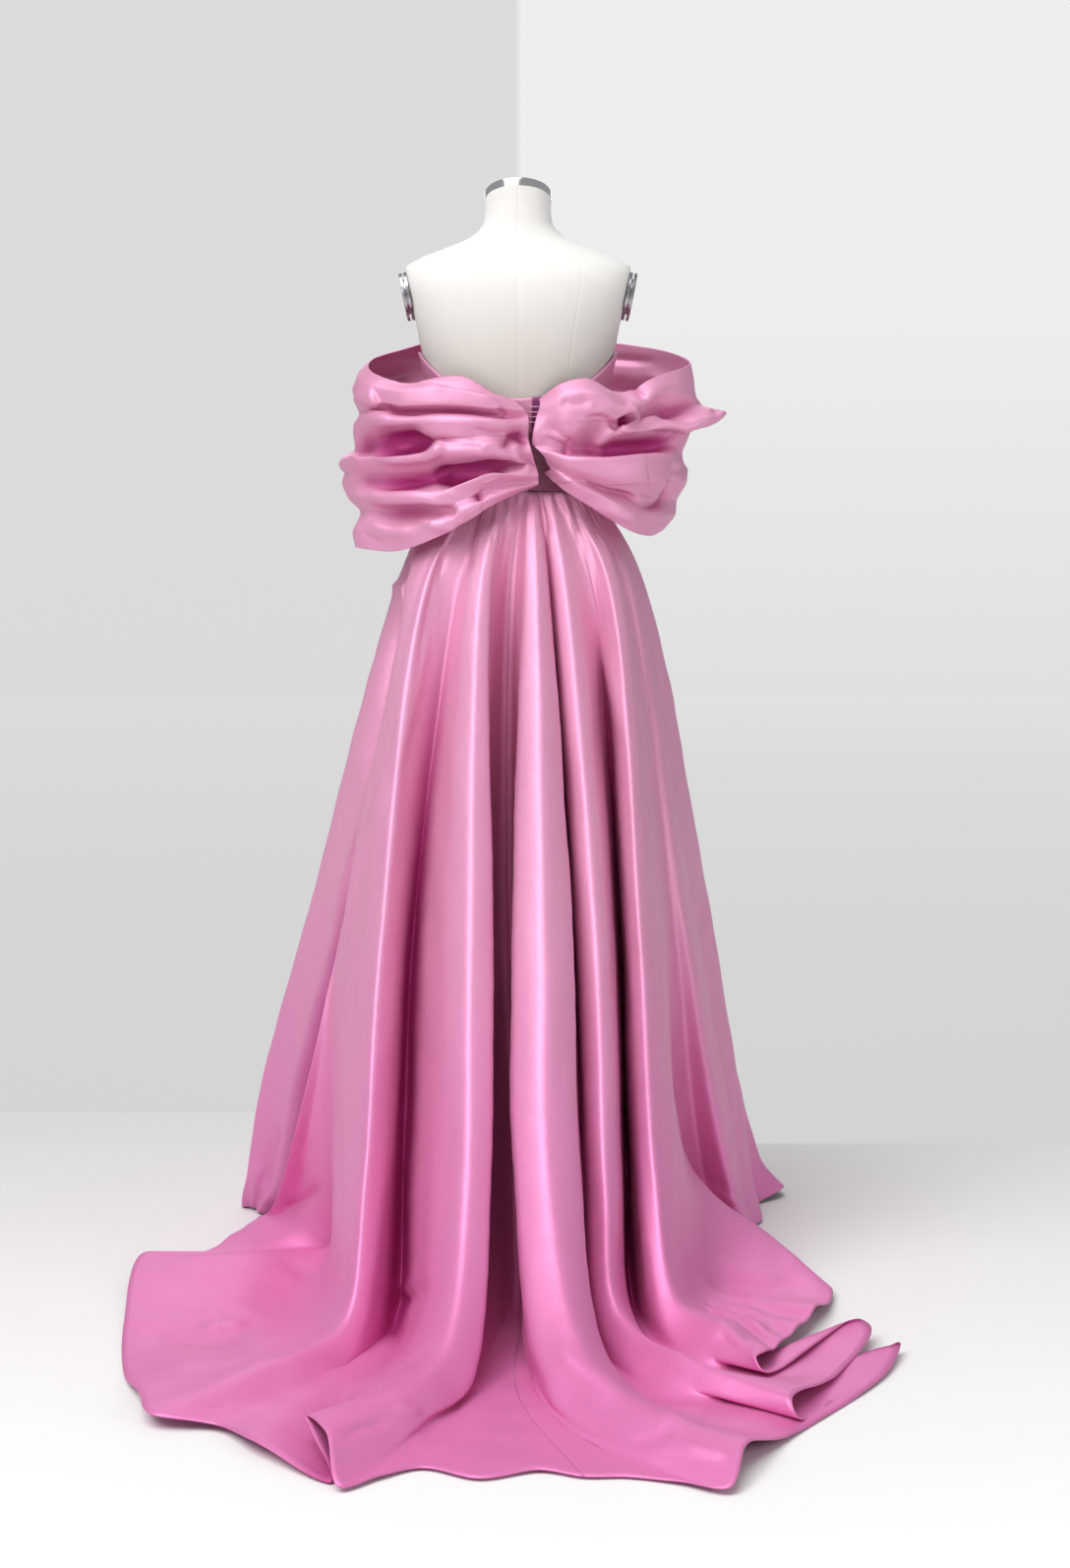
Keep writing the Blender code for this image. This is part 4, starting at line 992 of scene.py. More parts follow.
def draw_in(grid: Points, start: float = SEAM_GAP, end: float = SEAM_GAP) -> Points:
    """Draw a panel's first and last columns in by the seam's gap.

    Args:
        grid: the panel's points.
        start: the gap at the first column.
        end: the gap at the last column.

    Returns:
        The drawn-in points.
    """
    grid = grid.copy()
    for edge, inner, gap in ((0, 1, start), (-1, -2, end)):
        away = grid[inner] - grid[edge]
        far = np.linalg.norm(away, axis=1, keepdims=True)
        grid[edge] += away * np.minimum(gap / np.maximum(far, 1e-6), SEAM_SHARE)
    return grid


class Graph:
    """Builds one material's nodes."""

    def __init__(self, name: str) -> None:
        """Start a material with its Principled shader."""
        self.material = bpy.data.materials.new(name)
        self.material.use_nodes = True
        self.tree = self.material.node_tree
        self.shader = self.tree.nodes["Principled BSDF"]

    def add(self, kind: str, **values: object) -> bpy.types.Node:
        """Add a node.

        Args:
            kind: the node's Blender type.
            values: its own settings, and its sockets' values by name in lower case.

        Returns:
            The node.
        """
        node = self.tree.nodes.new(kind)
        for key, value in values.items():
            if hasattr(node, key):
                setattr(node, key, value)
            else:
                node.inputs[key.replace("_", " ").title()].default_value = value
        return node

    def link(self, start: bpy.types.NodeSocket, end: bpy.types.NodeSocket) -> None:
        """Join two sockets."""
        self.tree.links.new(start, end)

    def shine(self, **values: float | Colour) -> None:
        """Set the shader's own sockets, by name in lower case with underscores."""
        for key, value in values.items():
            for socket in self.shader.inputs:
                if socket.name.lower().replace(" ", "_") == key:
                    socket.default_value = (*value, 1.0) if isinstance(value, tuple) else value

    def places(self, source: str = "Object", scale: Colour = (1, 1, 1)) -> bpy.types.NodeSocket:
        """Give the coordinates that a pattern reads.

        Args:
            source: Object or UV.
            scale: how much the pattern is squeezed each way.

        Returns:
            The coordinates' socket.
        """
        where = self.add("ShaderNodeTexCoord")
        fit = self.add("ShaderNodeMapping")
        fit.inputs["Scale"].default_value = scale
        self.link(where.outputs[source], fit.inputs["Vector"])
        return fit.outputs["Vector"]

    def noise(self, where: bpy.types.NodeSocket, scale: float, detail: float = 2.0,
              roughness: float = 0.5) -> bpy.types.NodeSocket:
        """Give a noise of a scale at some coordinates."""
        node = self.add("ShaderNodeTexNoise", scale=scale, detail=detail, roughness=roughness)
        self.link(where, node.inputs["Vector"])
        return node.outputs["Fac"]

    def blend(self, share: bpy.types.NodeSocket, first: Colour,
              second: Colour) -> bpy.types.NodeSocket:
        """Blend two colours by a share."""
        ramp = self.add("ShaderNodeValToRGB")
        ramp.color_ramp.elements[0].color = (*first, 1.0)
        ramp.color_ramp.elements[1].color = (*second, 1.0)
        self.link(share, ramp.inputs["Fac"])
        return ramp.outputs["Color"]

    def bump(self, layers: Sequence[tuple[bpy.types.NodeSocket, float, float]]) -> None:
        """Raise the surface by layers of (height, strength, distance in metres)."""
        below = None
        for height, strength, distance in layers:
            node = self.add("ShaderNodeBump", strength=strength, distance=distance)
            self.link(height, node.inputs["Height"])
            if below is not None:
                self.link(below, node.inputs["Normal"])
            below = node.outputs["Normal"]
        if below is not None:
            self.link(below, self.shader.inputs["Normal"])


@dataclass(frozen=True)
class Satin:
    """Heavy duchess satin: a soft broad sheen, a fine close weave, painted shade deep in the folds
    and a painted floor bounce low down.
    """

    name: str = "pink duchess satin"
    light: Colour = (0.78, 0.37, 0.56)
    deep: Colour = (0.68, 0.27, 0.45)
    # Painted light: a deeper magenta low on the cloth, standing in for light bounced up from the
    # floor.
    floor: Colour = (0.70, 0.20, 0.45)
    # Painted shade: the colour laid deep in the fold hollows, by the hollow mask.
    painted_hollow_shade: Colour = (0.43, 0.036, 0.20)
    roughness: float = 0.47
    metallic: float = 0.34
    # Heights between which the painted floor bounce fades in.
    floor_bounce_heights: tuple[float, float] = (0.55, 0.02)
    # The hollow mask's span over which the painted shade comes in.
    shade_span: tuple[float, float] = (0.48, 0.98)

    def make(self) -> bpy.types.Material:
        """Build the finish."""
        graph = Graph(self.name)
        place = graph.places()
        cloudy = graph.noise(place, 2.2, 3.0)
        colour = graph.blend(cloudy, self.deep, self.light)
        # Painted light: towards the floor the colour turns to the floor bounce's magenta.
        low = graph.add("ShaderNodeSeparateXYZ")
        graph.link(place, low.inputs[0])
        fade = graph.add("ShaderNodeMapRange")
        fade.inputs["From Min"].default_value = self.floor_bounce_heights[0]
        fade.inputs["From Max"].default_value = self.floor_bounce_heights[1]
        graph.link(low.outputs["Z"], fade.inputs["Value"])
        bounce_tinted = graph.add("ShaderNodeMix", data_type="RGBA")
        graph.link(fade.outputs["Result"], bounce_tinted.inputs[0])
        graph.link(colour, bounce_tinted.inputs[6])
        bounce_tinted.inputs[7].default_value = (*self.floor, 1.0)
        # Painted shade: the colour darkens towards the painted hollow shade where the hollow mask
        # lies deep in the folds.
        depth = graph.add("ShaderNodeAttribute", attribute_name="hollow")
        dark = graph.add("ShaderNodeMapRange", interpolation_type="SMOOTHSTEP")
        dark.inputs["From Min"].default_value = self.shade_span[0]
        dark.inputs["From Max"].default_value = self.shade_span[1]
        graph.link(depth.outputs["Fac"], dark.inputs["Value"])
        shade = graph.add("ShaderNodeMix", data_type="RGBA")
        graph.link(dark.outputs["Result"], shade.inputs[0])
        graph.link(bounce_tinted.outputs[2], shade.inputs[6])
        shade.inputs[7].default_value = (*self.painted_hollow_shade, 1.0)
        graph.link(shade.outputs[2], graph.shader.inputs["Base Color"])
        weave = graph.places("UV")
        warp = graph.noise(graph.places("UV", (1.0, 9.0, 1.0)), 900.0, 2.0, 0.6)
        slub = graph.noise(graph.places("UV", (14.0, 1.0, 1.0)), 30.0, 3.0, 0.6)
        crumple = graph.noise(weave, 38.0, 4.0, 0.55)
        graph.bump(((crumple, 0.16, 0.006), (slub, 0.10, 0.0012), (warp, 0.12, 0.0004)))
        graph.shine(roughness=self.roughness, metallic=self.metallic, specular_ior_level=0.4)
        return graph.material


@dataclass(frozen=True)
class BeadedSatin:
    """The dark ground under the beads."""

    name: str = "dark beaded ground"
    light: Colour = (0.30, 0.075, 0.15)
    deep: Colour = (0.12, 0.020, 0.05)

    def make(self) -> bpy.types.Material:
        """Build the finish."""
        graph = Graph(self.name)
        place = graph.places()
        graph.link(graph.blend(graph.noise(place, 160.0, 3.0), self.deep, self.light),
                   graph.shader.inputs["Base Color"])
        graph.bump(((graph.noise(place, 520.0, 2.0), 0.5, 0.0006),))
        graph.shine(roughness=0.42, sheen_weight=0.2, sheen_roughness=0.4)
        return graph.material


@dataclass(frozen=True)
class BeadGlass:
    """Small dark rose glass beads."""

    name: str = "rose glass beads"
    light: Colour = (0.72, 0.36, 0.48)
    deep: Colour = (0.24, 0.05, 0.11)

    def make(self) -> bpy.types.Material:
        """Build the finish."""
        graph = Graph(self.name)
        graph.link(graph.blend(graph.noise(graph.places(), 240.0, 1.0), self.deep, self.light),
                   graph.shader.inputs["Base Color"])
        graph.shine(roughness=0.16, metallic=0.55, coat_weight=0.6, coat_roughness=0.08)
        return graph.material


@dataclass(frozen=True)
class Underlap:
    """The deep magenta placket cloth behind the closure."""

    name: str = "magenta placket"
    light: Colour = (0.36, 0.06, 0.26)
    deep: Colour = (0.20, 0.025, 0.14)

    def make(self) -> bpy.types.Material:
        """Build the finish."""
        graph = Graph(self.name)
        place = graph.places()
        graph.link(graph.blend(graph.noise(place, 22.0, 3.0), self.deep, self.light),
                   graph.shader.inputs["Base Color"])
        graph.bump(((graph.noise(graph.places("UV", (1.0, 7.0, 1.0)), 700.0), 0.2, 0.0004),))
        graph.shine(roughness=0.5, sheen_weight=0.2, sheen_roughness=0.5)
        return graph.material


@dataclass(frozen=True)
class Elastic:
    """Pale pink covered elastic, with its fine ribs."""

    name: str = "covered elastic"
    light: Colour = (0.90, 0.66, 0.80)
    deep: Colour = (0.74, 0.42, 0.62)

    def make(self) -> bpy.types.Material:
        """Build the finish."""
        graph = Graph(self.name)
        place = graph.places()
        graph.link(graph.blend(graph.noise(place, 90.0, 2.0), self.deep, self.light),
                   graph.shader.inputs["Base Color"])
        graph.bump(((graph.noise(graph.places("Object", (6.0, 1.0, 1.0)), 500.0), 0.3, 0.0003),))
        graph.shine(roughness=0.55, sheen_weight=0.3)
        return graph.material


@dataclass(frozen=True)
class Linen:
    """The form's off-white cover: a fine plain weave, a little uneven in tone, and paler towards
    the top with painted light.
    """

    name: str = "off-white linen cover"
    light: Colour = (0.80, 0.785, 0.76)
    deep: Colour = (0.54, 0.495, 0.45)
    # Painted light: heights over which the cover turns from the darker lower tone to the paler top,
    # as if lit from above.
    top_light_span: tuple[float, float] = (1.28, 1.50)
    cloudy: float = 0.30

    def make(self) -> bpy.types.Material:
        """Build the finish."""
        graph = Graph(self.name)
        place = graph.places()
        # Painted light: paler towards the top and darker lower down, with an uneven tone laid over
        # it.
        height = graph.add("ShaderNodeSeparateXYZ")
        graph.link(place, height.inputs[0])
        rise = graph.add("ShaderNodeMapRange")
        rise.inputs["From Min"].default_value = self.top_light_span[0]
        rise.inputs["From Max"].default_value = self.top_light_span[1]
        graph.link(height.outputs["Z"], rise.inputs["Value"])
        uneven = graph.add("ShaderNodeMath", operation="MULTIPLY_ADD")
        graph.link(graph.noise(place, 6.0, 4.0), uneven.inputs[0])
        uneven.inputs[1].default_value = self.cloudy
        graph.link(rise.outputs["Result"], uneven.inputs[2])
        graph.link(graph.blend(uneven.outputs[0], self.deep, self.light),
                   graph.shader.inputs["Base Color"])
        warp = graph.noise(graph.places("Object", (1.0, 1.0, 0.12)), 1500.0, 1.0)
        weft = graph.noise(graph.places("Object", (0.12, 0.12, 1.0)), 1500.0, 1.0)
        graph.bump(((warp, 0.25, 0.0005), (weft, 0.25, 0.0005)))
        graph.shine(roughness=0.82, sheen_weight=0.15, sheen_roughness=0.6)
        return graph.material


@dataclass(frozen=True)
class Chrome:
    """Polished plate with a little handling haze."""

    name: str = "polished chrome"
    colour: Colour = (0.76, 0.77, 0.79)
    least: float = 0.08
    most: float = 0.20

    def make(self) -> bpy.types.Material:
        """Build the finish."""
        graph = Graph(self.name)
        graph.shine(base_color=self.colour, metallic=1.0)
        haze = graph.add("ShaderNodeMapRange")
        haze.inputs["To Min"].default_value = self.least
        haze.inputs["To Max"].default_value = self.most
        graph.link(graph.noise(graph.places(), 24.0, 4.0), haze.inputs["Value"])
        graph.link(haze.outputs["Result"], graph.shader.inputs["Roughness"])
        graph.bump(((graph.noise(graph.places("Object", (1, 1, 14)), 160.0, 1.0), 0.03, 0.0003),))
        return graph.material


@dataclass(frozen=True)
class PaintedSteel:
    """Dark grey powder coat, a little worn."""

    name: str = "dark powder coat"
    light: Colour = (0.12, 0.12, 0.13)
    deep: Colour = (0.06, 0.06, 0.065)

    def make(self) -> bpy.types.Material:
        """Build the finish."""
        graph = Graph(self.name)
        place = graph.places()
        graph.link(graph.blend(graph.noise(place, 12.0, 4.0), self.deep, self.light),
                   graph.shader.inputs["Base Color"])
        graph.bump(((graph.noise(place, 420.0, 2.0), 0.2, 0.0004),))
        graph.shine(roughness=0.46, metallic=0.5)
        return graph.material


@dataclass(frozen=True)
class StudioFloor:
    """A plain pale floor, bright in front of the gown and greyer further back as painted light,
    that ends at the studio's pale walls, shown by a painted glow.
    """

    name: str = "pale studio floor"
    # near and far: the floor's painted fall of light from in front of the gown to the back.
    near: Colour = (0.79, 0.79, 0.79)
    far: Colour = (0.585, 0.585, 0.585)
    ends: tuple[float, float] = (0.74, 0.48)
    corner: float = 0.006
    foot: float = 0.008
    # The glowing walls' painted tones, and the spans they change over.
    wall_span: tuple[float, float] = (0.5, 12.0)
    ground_span: tuple[float, float] = (-1.5, 0.66)
    wall_feet: tuple[Colour, Colour] = ((0.655, 0.645, 0.65), (0.645, 0.64, 0.64))
    wall_tops: tuple[Colour, Colour] = ((0.71, 0.70, 0.705), (0.745, 0.74, 0.745))

    @staticmethod
    def span(graph: Graph, source: bpy.types.NodeSocket, first: float, last: float,
             to: tuple[float, float] = (0.0, 1.0)) -> bpy.types.NodeSocket:
        """Map a value's span onto another span."""
        node = graph.add("ShaderNodeMapRange")
        for name, value in (("From Min", first), ("From Max", last), ("To Min", to[0]),
                            ("To Max", to[1])):
            node.inputs[name].default_value = value
        graph.link(source, node.inputs["Value"])
        return node.outputs["Result"]

    @staticmethod
    def mix(graph: Graph, share: bpy.types.NodeSocket, first: bpy.types.NodeSocket | Colour,
            second: bpy.types.NodeSocket | Colour) -> bpy.types.NodeSocket:
        """Mix two colours or sockets by a share."""
        node = graph.add("ShaderNodeMix", data_type="RGBA")
        graph.link(share, node.inputs[0])
        for index, value in ((6, first), (7, second)):
            if isinstance(value, tuple):
                node.inputs[index].default_value = (*value, 1.0)
            else:
                graph.link(value, node.inputs[index])
        return node.outputs[2]

    def make(self) -> bpy.types.Material:
        """Build the finish."""
        graph = Graph(self.name)
        place = graph.places()
        split = graph.add("ShaderNodeSeparateXYZ")
        graph.link(place, split.inputs[0])
        x, y = split.outputs["X"], split.outputs["Y"]
        side = self.span(graph, x, -self.corner, self.corner)
        past = graph.add("ShaderNodeMath", operation="SUBTRACT")
        graph.link(y, past.inputs[0])
        graph.link(self.span(graph, x, -self.corner, self.corner, self.ends), past.inputs[1])
        # Past the wall line the floor glows with the walls' tones: painted light, darker on the
        # left and lower down.
        wall = self.span(graph, past.outputs[0], -self.foot, self.foot)
        rise = self.span(graph, y, *self.wall_span)
        tone = self.mix(graph, rise, self.mix(graph, side, *self.wall_feet),
                        self.mix(graph, side, *self.wall_tops))
        # Painted light: the floor greys from in front of the gown towards the back.
        ground = self.mix(graph, self.span(graph, y, *self.ground_span), self.near, self.far)
        graph.link(self.mix(graph, wall, ground, (0.0, 0.0, 0.0)),
                   graph.shader.inputs["Base Color"])
        graph.link(tone, graph.shader.inputs["Emission Color"])
        graph.link(wall, graph.shader.inputs["Emission Strength"])
        graph.bump(((graph.noise(place, 60.0, 3.0), 0.03, 0.001),))
        graph.shine(roughness=0.8, specular_ior_level=0.05)
        return graph.material


class Wardrobe:
    """Makes each finish once and hands it out."""

    def __init__(self) -> None:
        """Make the finishes."""
        self.made = {
            Slot.SATIN: Satin().make(),
            Slot.BEADED: BeadedSatin().make(),
            Slot.UNDERLAP: Underlap().make(),
            Slot.ELASTIC: Elastic().make(),
            Slot.LINEN: Linen().make(),
            Slot.CHROME: Chrome().make(),
            Slot.STEEL: PaintedSteel().make(),
        }
        self.beads = BeadGlass().make()
        self.plate = Chrome("dulled chrome", (0.42, 0.41, 0.43), 0.22, 0.34).make()

    def dress(self, piece: bpy.types.Object, slot: Slot,
              finish: bpy.types.Material | None = None) -> bpy.types.Object:
        """Give a piece the finish of its slot, and its body.

        Args:
            piece: the piece.
            slot: the record's slot it takes its finish from.
            finish: its own finish, where it isn't the slot's.

        Returns:
            The piece.
        """
        piece.data.materials.clear()
        piece.data.materials.append(finish or self.made[slot])
        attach(piece, BODY)
        return piece


@dataclass
class Cut:
    """A cut piece of cloth: its points, and the flat size that it was cut to.

    Attributes:
        name: the piece's name; node is the solid that it stands for.
        grid: its middle surface, of shape (columns, rows, 3).
        flat: the width and length it was cut to, in metres.
        area: the cut's flat area, in square metres.
    """

    name: str
    node: str
    grid: Points
    flat: tuple[float, float]
    area: float
    held: Held
    rests_on: tuple[str, ...]
    slot: Slot = Slot.SATIN
    thickness: float = CLOTH
    flipped: bool = False
    # hollow: the mask for the satin's painted shade in the folds; none gives the even value.
    hollow: Points | None = None

    def sew(self, wardrobe: Wardrobe) -> bpy.types.Object:
        """Make the piece, with a wall of cloth and the weave's own map."""
        columns, rows = self.grid.shape[:2]
        index = np.arange(columns * rows).reshape(columns, rows)
        corners = (index[:-1, :-1], index[1:, :-1], index[1:, 1:], index[:-1, 1:])
        faces = np.stack([c.ravel() for c in (corners[::-1] if self.flipped else corners)], 1)
        mesh = bpy.data.meshes.new(self.name)
        mesh.from_pydata(self.grid.reshape(-1, 3).tolist(), [], faces.tolist())
        self.lay_weave(mesh, faces)
        # The hollow mask, by which the satin paints shade into its colour deep in the folds.
        depth = (np.full(columns * rows, EVEN_HOLLOW) if self.hollow is None
                 else self.hollow.ravel())
        marks = mesh.attributes.new("hollow", "FLOAT", "POINT")
        marks.data.foreach_set("value", depth.astype(np.float32))
        mesh.validate()
        mesh.shade_smooth()
        piece = bpy.data.objects.new(self.name, mesh)
        bpy.context.scene.collection.objects.link(piece)
        wall = piece.modifiers.new("wall", "SOLIDIFY")
        wall.thickness = self.thickness
        wall.offset = 0.0
        wardrobe.dress(piece, self.slot)
        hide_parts(self.node)
        LOG.info("%s: %d points", self.name, columns * rows)
        return piece

    def lay_weave(self, mesh: bpy.types.Mesh, faces: np.ndarray) -> None:
        """Lay the weave's map, in metres along the piece's columns and rows."""
        across = np.linalg.norm(np.diff(self.grid, axis=0), axis=2).mean(axis=1)
        down = np.linalg.norm(np.diff(self.grid, axis=1), axis=2)
        u = np.concatenate([[0.0], np.cumsum(across)])
        v = np.concatenate([np.zeros((len(self.grid), 1)), np.cumsum(down, axis=1)], axis=1)
        marks = np.stack([np.broadcast_to(u[:, None], v.shape), v], axis=2).reshape(-1, 2)
        layer = mesh.uv_layers.new(name="weave")
        layer.data.foreach_set("uv", marks[faces.ravel()].astype(np.float32).ravel())

    def declare(self, piece: bpy.types.Object, extras: Sequence[bpy.types.Object] = ()) -> None:
        """Do nothing: the piece and its extras are not declared here."""


class Bench:
    """Shapes a primitive by hand in edit mode."""

    def __init__(self, name: str) -> None:
        """Take the active object, the new primitive, and name it."""
        self.piece = bpy.context.active_object
        self.piece.name = name
        self.piece.data.name = name

    @staticmethod
    def clear() -> None:
        """Deselect everything, so that an operator acts on the new piece alone."""
        bpy.ops.object.select_all(action="DESELECT")

    def pick(self, test: Callable[[Vector, Vector], bool]) -> None:
        """Select the faces whose centre and normal pass a test, and stay in edit mode."""
        bpy.ops.object.mode_set(mode="EDIT")
        bpy.ops.mesh.select_mode(type="FACE")
        bpy.ops.mesh.select_all(action="DESELECT")
        bpy.ops.object.mode_set(mode="OBJECT")
        for face in self.piece.data.polygons:
            face.select = test(face.center, face.normal)
        bpy.ops.object.mode_set(mode="EDIT")

    def round_edges(self, test: Callable[[Vector, Vector], bool], width: float,
                    segments: int = 4) -> None:
        """Bevel the rim of the faces that pass a test."""
        self.pick(test)
        bpy.ops.mesh.region_to_loop()
        bpy.ops.mesh.bevel(offset=width, segments=segments, profile=0.6)
        bpy.ops.object.mode_set(mode="OBJECT")

    def finish(self, place: tuple[float, float, float] = (0.0, 0.0, 0.0),
               turn: tuple[float, float, float] = (0.0, 0.0, 0.0)) -> bpy.types.Object:
        """Turn and place the piece, keep its place in its mesh and shade it.

        Args:
            place: where its own origin goes.
            turn: how it is turned, in radians.

        Returns:
            The piece.
        """
        self.piece.rotation_euler = turn
        self.piece.location = place
        bpy.ops.object.transform_apply(location=True, rotation=True, scale=True)
        bpy.ops.object.shade_smooth_by_angle(angle=math.radians(35))
        return self.piece


@dataclass
class DressForm:
    """The limbless padded form, with its cover's sewn seams."""

    sides: int = 96
    rows_per_span: int = 5
    seam_turns: tuple[float, ...] = (0.0, 31.0, 90.0, 149.0, 180.0, 211.0, 270.0, 329.0)
    seam_half: float = 0.55
    seam_depth: float = 0.55 * MM
    seam_clear: float = 1.4
    seam_steps: tuple[float, ...] = (-1.0, -0.45, 0.0, 0.45, 1.0)
    seam_shoulder: float = 0.35
    neck_start: float = 1.53

    def columns(self) -> list[float]:
        """Give the turns of the form's columns, closer beside each seam."""
        plain = [360.0 * k / self.sides for k in range(self.sides)]
        clear = [t for t in plain
                 if all(abs((t - s + 180) % 360 - 180) > self.seam_clear * self.seam_half
                        for s in self.seam_turns)]
        beside = [(s + step * self.seam_half) % 360
                  for s in self.seam_turns for step in self.seam_steps]
        return sorted(clear + beside)

    def build(self, wardrobe: Wardrobe) -> bpy.types.Object:
        """Make the torso and neck, flat at the armholes and under the hips."""
        heights = [row.height * MM for row in FORM_SECTIONS]
        levels = [heights[0]]
        for low, high in zip(heights, heights[1:]):
            levels += [low + (high - low) * (k + 1) / self.rows_per_span
                       for k in range(self.rows_per_span)]
        turns = self.columns()
        grid = np.array([[TORSO.point(turn, level) for level in levels] for turn in turns])
        for k, turn in enumerate(turns):
            near = min(abs((turn - s + 180) % 360 - 180) for s in self.seam_turns)
            if near < 0.9 * self.seam_half:
                inward = grid[k, :, :2] / np.linalg.norm(grid[k, :, :2], axis=1, keepdims=True)
                share = 1.0 if near < 0.2 * self.seam_half else self.seam_shoulder
                depth = self.seam_depth * share
                grid[k, :, :2] -= inward * depth
        neck = NECK_TOP - self.neck_start
        lean = np.clip((grid[:, :, 2] - self.neck_start) / neck, 0, 1)
        grid[:, :, 2] -= lean * math.tan(NECK_TILT) * grid[:, :, 1]
        columns, rows = grid.shape[:2]
        faces = []
        for c in range(columns):
            after = (c + 1) % columns
            faces += [(c * rows + r, after * rows + r, after * rows + r + 1, c * rows + r + 1)
                      for r in range(rows - 1)]
        faces.append(tuple(c * rows for c in reversed(range(columns))))
        faces.append(tuple(c * rows + rows - 1 for c in range(columns)))
        mesh = bpy.data.meshes.new("form_cover")
        mesh.from_pydata(grid.reshape(-1, 3).tolist(), [], faces)
        mesh.validate()
        piece = bpy.data.objects.new("form_cover", mesh)
        bpy.context.scene.collection.objects.link(piece)
        Bench.clear()
        piece.select_set(True)
        bpy.context.view_layer.objects.active = piece
        bpy.ops.object.shade_smooth_by_angle(angle=math.radians(50))
        wardrobe.dress(piece, Slot.LINEN)
        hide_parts("dress_form")
        LOG.info("form_cover: %d points", columns * rows)
        return piece


@dataclass
class NeckCap:
    """The tilted metal cap on the neck."""

    radius: float = NECK_RADIUS + 0.5 * MM
    thickness: float = 0.016
    edge: float = 3.5 * MM
    lift: float = 0.4 * MM
    rim: float = 0.012
    ring_width: float = 0.0012
    ring_depth: float = 0.0006

    def build(self, wardrobe: Wardrobe) -> bpy.types.Object:
        """Turn the cap, round its rim and sink a shallow ring in its top."""
        Bench.clear()
        bpy.ops.mesh.primitive_cylinder_add(vertices=96, radius=self.radius,
                                            depth=self.thickness,
                                            location=(0, 0, self.thickness / 2))
        bpy.ops.object.transform_apply(location=True, rotation=True, scale=True)
        bench = Bench("neck_cap_chrome")
        bench.pick(lambda centre, normal: normal.z > 0.9)
        bpy.ops.mesh.inset(thickness=self.rim, depth=0.0)
        bpy.ops.mesh.inset(thickness=self.ring_width, depth=-self.ring_depth)
        bench.round_edges(lambda centre, normal: normal.z > 0.9, self.edge, 5)
        piece = bench.finish((0.0, 0.0, NECK_TOP + self.lift), (-NECK_TILT, 0.0, 0.0))
        wardrobe.dress(piece, Slot.CHROME)
        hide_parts("neck_cap")
        LOG.info("neck_cap_chrome: %d points", len(piece.data.vertices))
        return piece


@dataclass
class ArmPlate:
    """A stepped metal plate on one flat armhole."""

    side: int
    node: str
    radius: float = 0.037
    depth: float = 0.0045
    step: float = 0.007
    waist: float = 0.010
    rim: float = 0.006
    dish_width: float = 0.001
    dish_depth: float = 0.0008
    edge: float = 0.0014
    back: float = 0.004

    def build(self, wardrobe: Wardrobe) -> bpy.types.Object:
        """Build the plate up in three steps: a flange, a waist and a dished face."""
        Bench.clear()
        bpy.ops.mesh.primitive_cylinder_add(vertices=72, radius=self.radius, depth=self.depth,
                                            location=(0, 0, self.depth / 2))
        bpy.ops.object.transform_apply(location=True, rotation=True, scale=True)
        bench = Bench(self.node + "_chrome")
        bench.pick(lambda centre, normal: normal.z > 0.9)
        bpy.ops.mesh.inset(thickness=self.waist, depth=0.0)
        bpy.ops.mesh.extrude_region_move(
            TRANSFORM_OT_translate={"value": (0, 0, self.step - self.depth)})
        grow = self.radius / (self.radius - self.waist)
        bpy.ops.mesh.extrude_region_move(TRANSFORM_OT_translate={"value": (0, 0, 0.0)})
        bpy.ops.transform.resize(value=(grow, grow, 1.0), center_override=(0, 0, self.step))
        bpy.ops.mesh.extrude_region_move(
            TRANSFORM_OT_translate={"value": (0, 0, self.depth)})
        bpy.ops.mesh.inset(thickness=self.rim, depth=0.0)
        bpy.ops.mesh.inset(thickness=self.dish_width, depth=-self.dish_depth)
        bpy.ops.object.mode_set(mode="OBJECT")
        top = self.step + self.depth
        bench.round_edges(lambda c, n: n.z > 0.9 and c.z > top - 0.002, self.edge, 3)
        piece = bench.finish((self.side * (ARMHOLE_FLAT + 0.4 * MM), -self.back,
                              ARMHOLE_HEIGHT),
                             (0.0, self.side * (math.pi / 2 + ARMHOLE_TILT), 0.0))
        wardrobe.dress(piece, Slot.CHROME, wardrobe.plate)
        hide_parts(self.node)
        LOG.info("%s: %d points", piece.name, len(piece.data.vertices))
        return piece


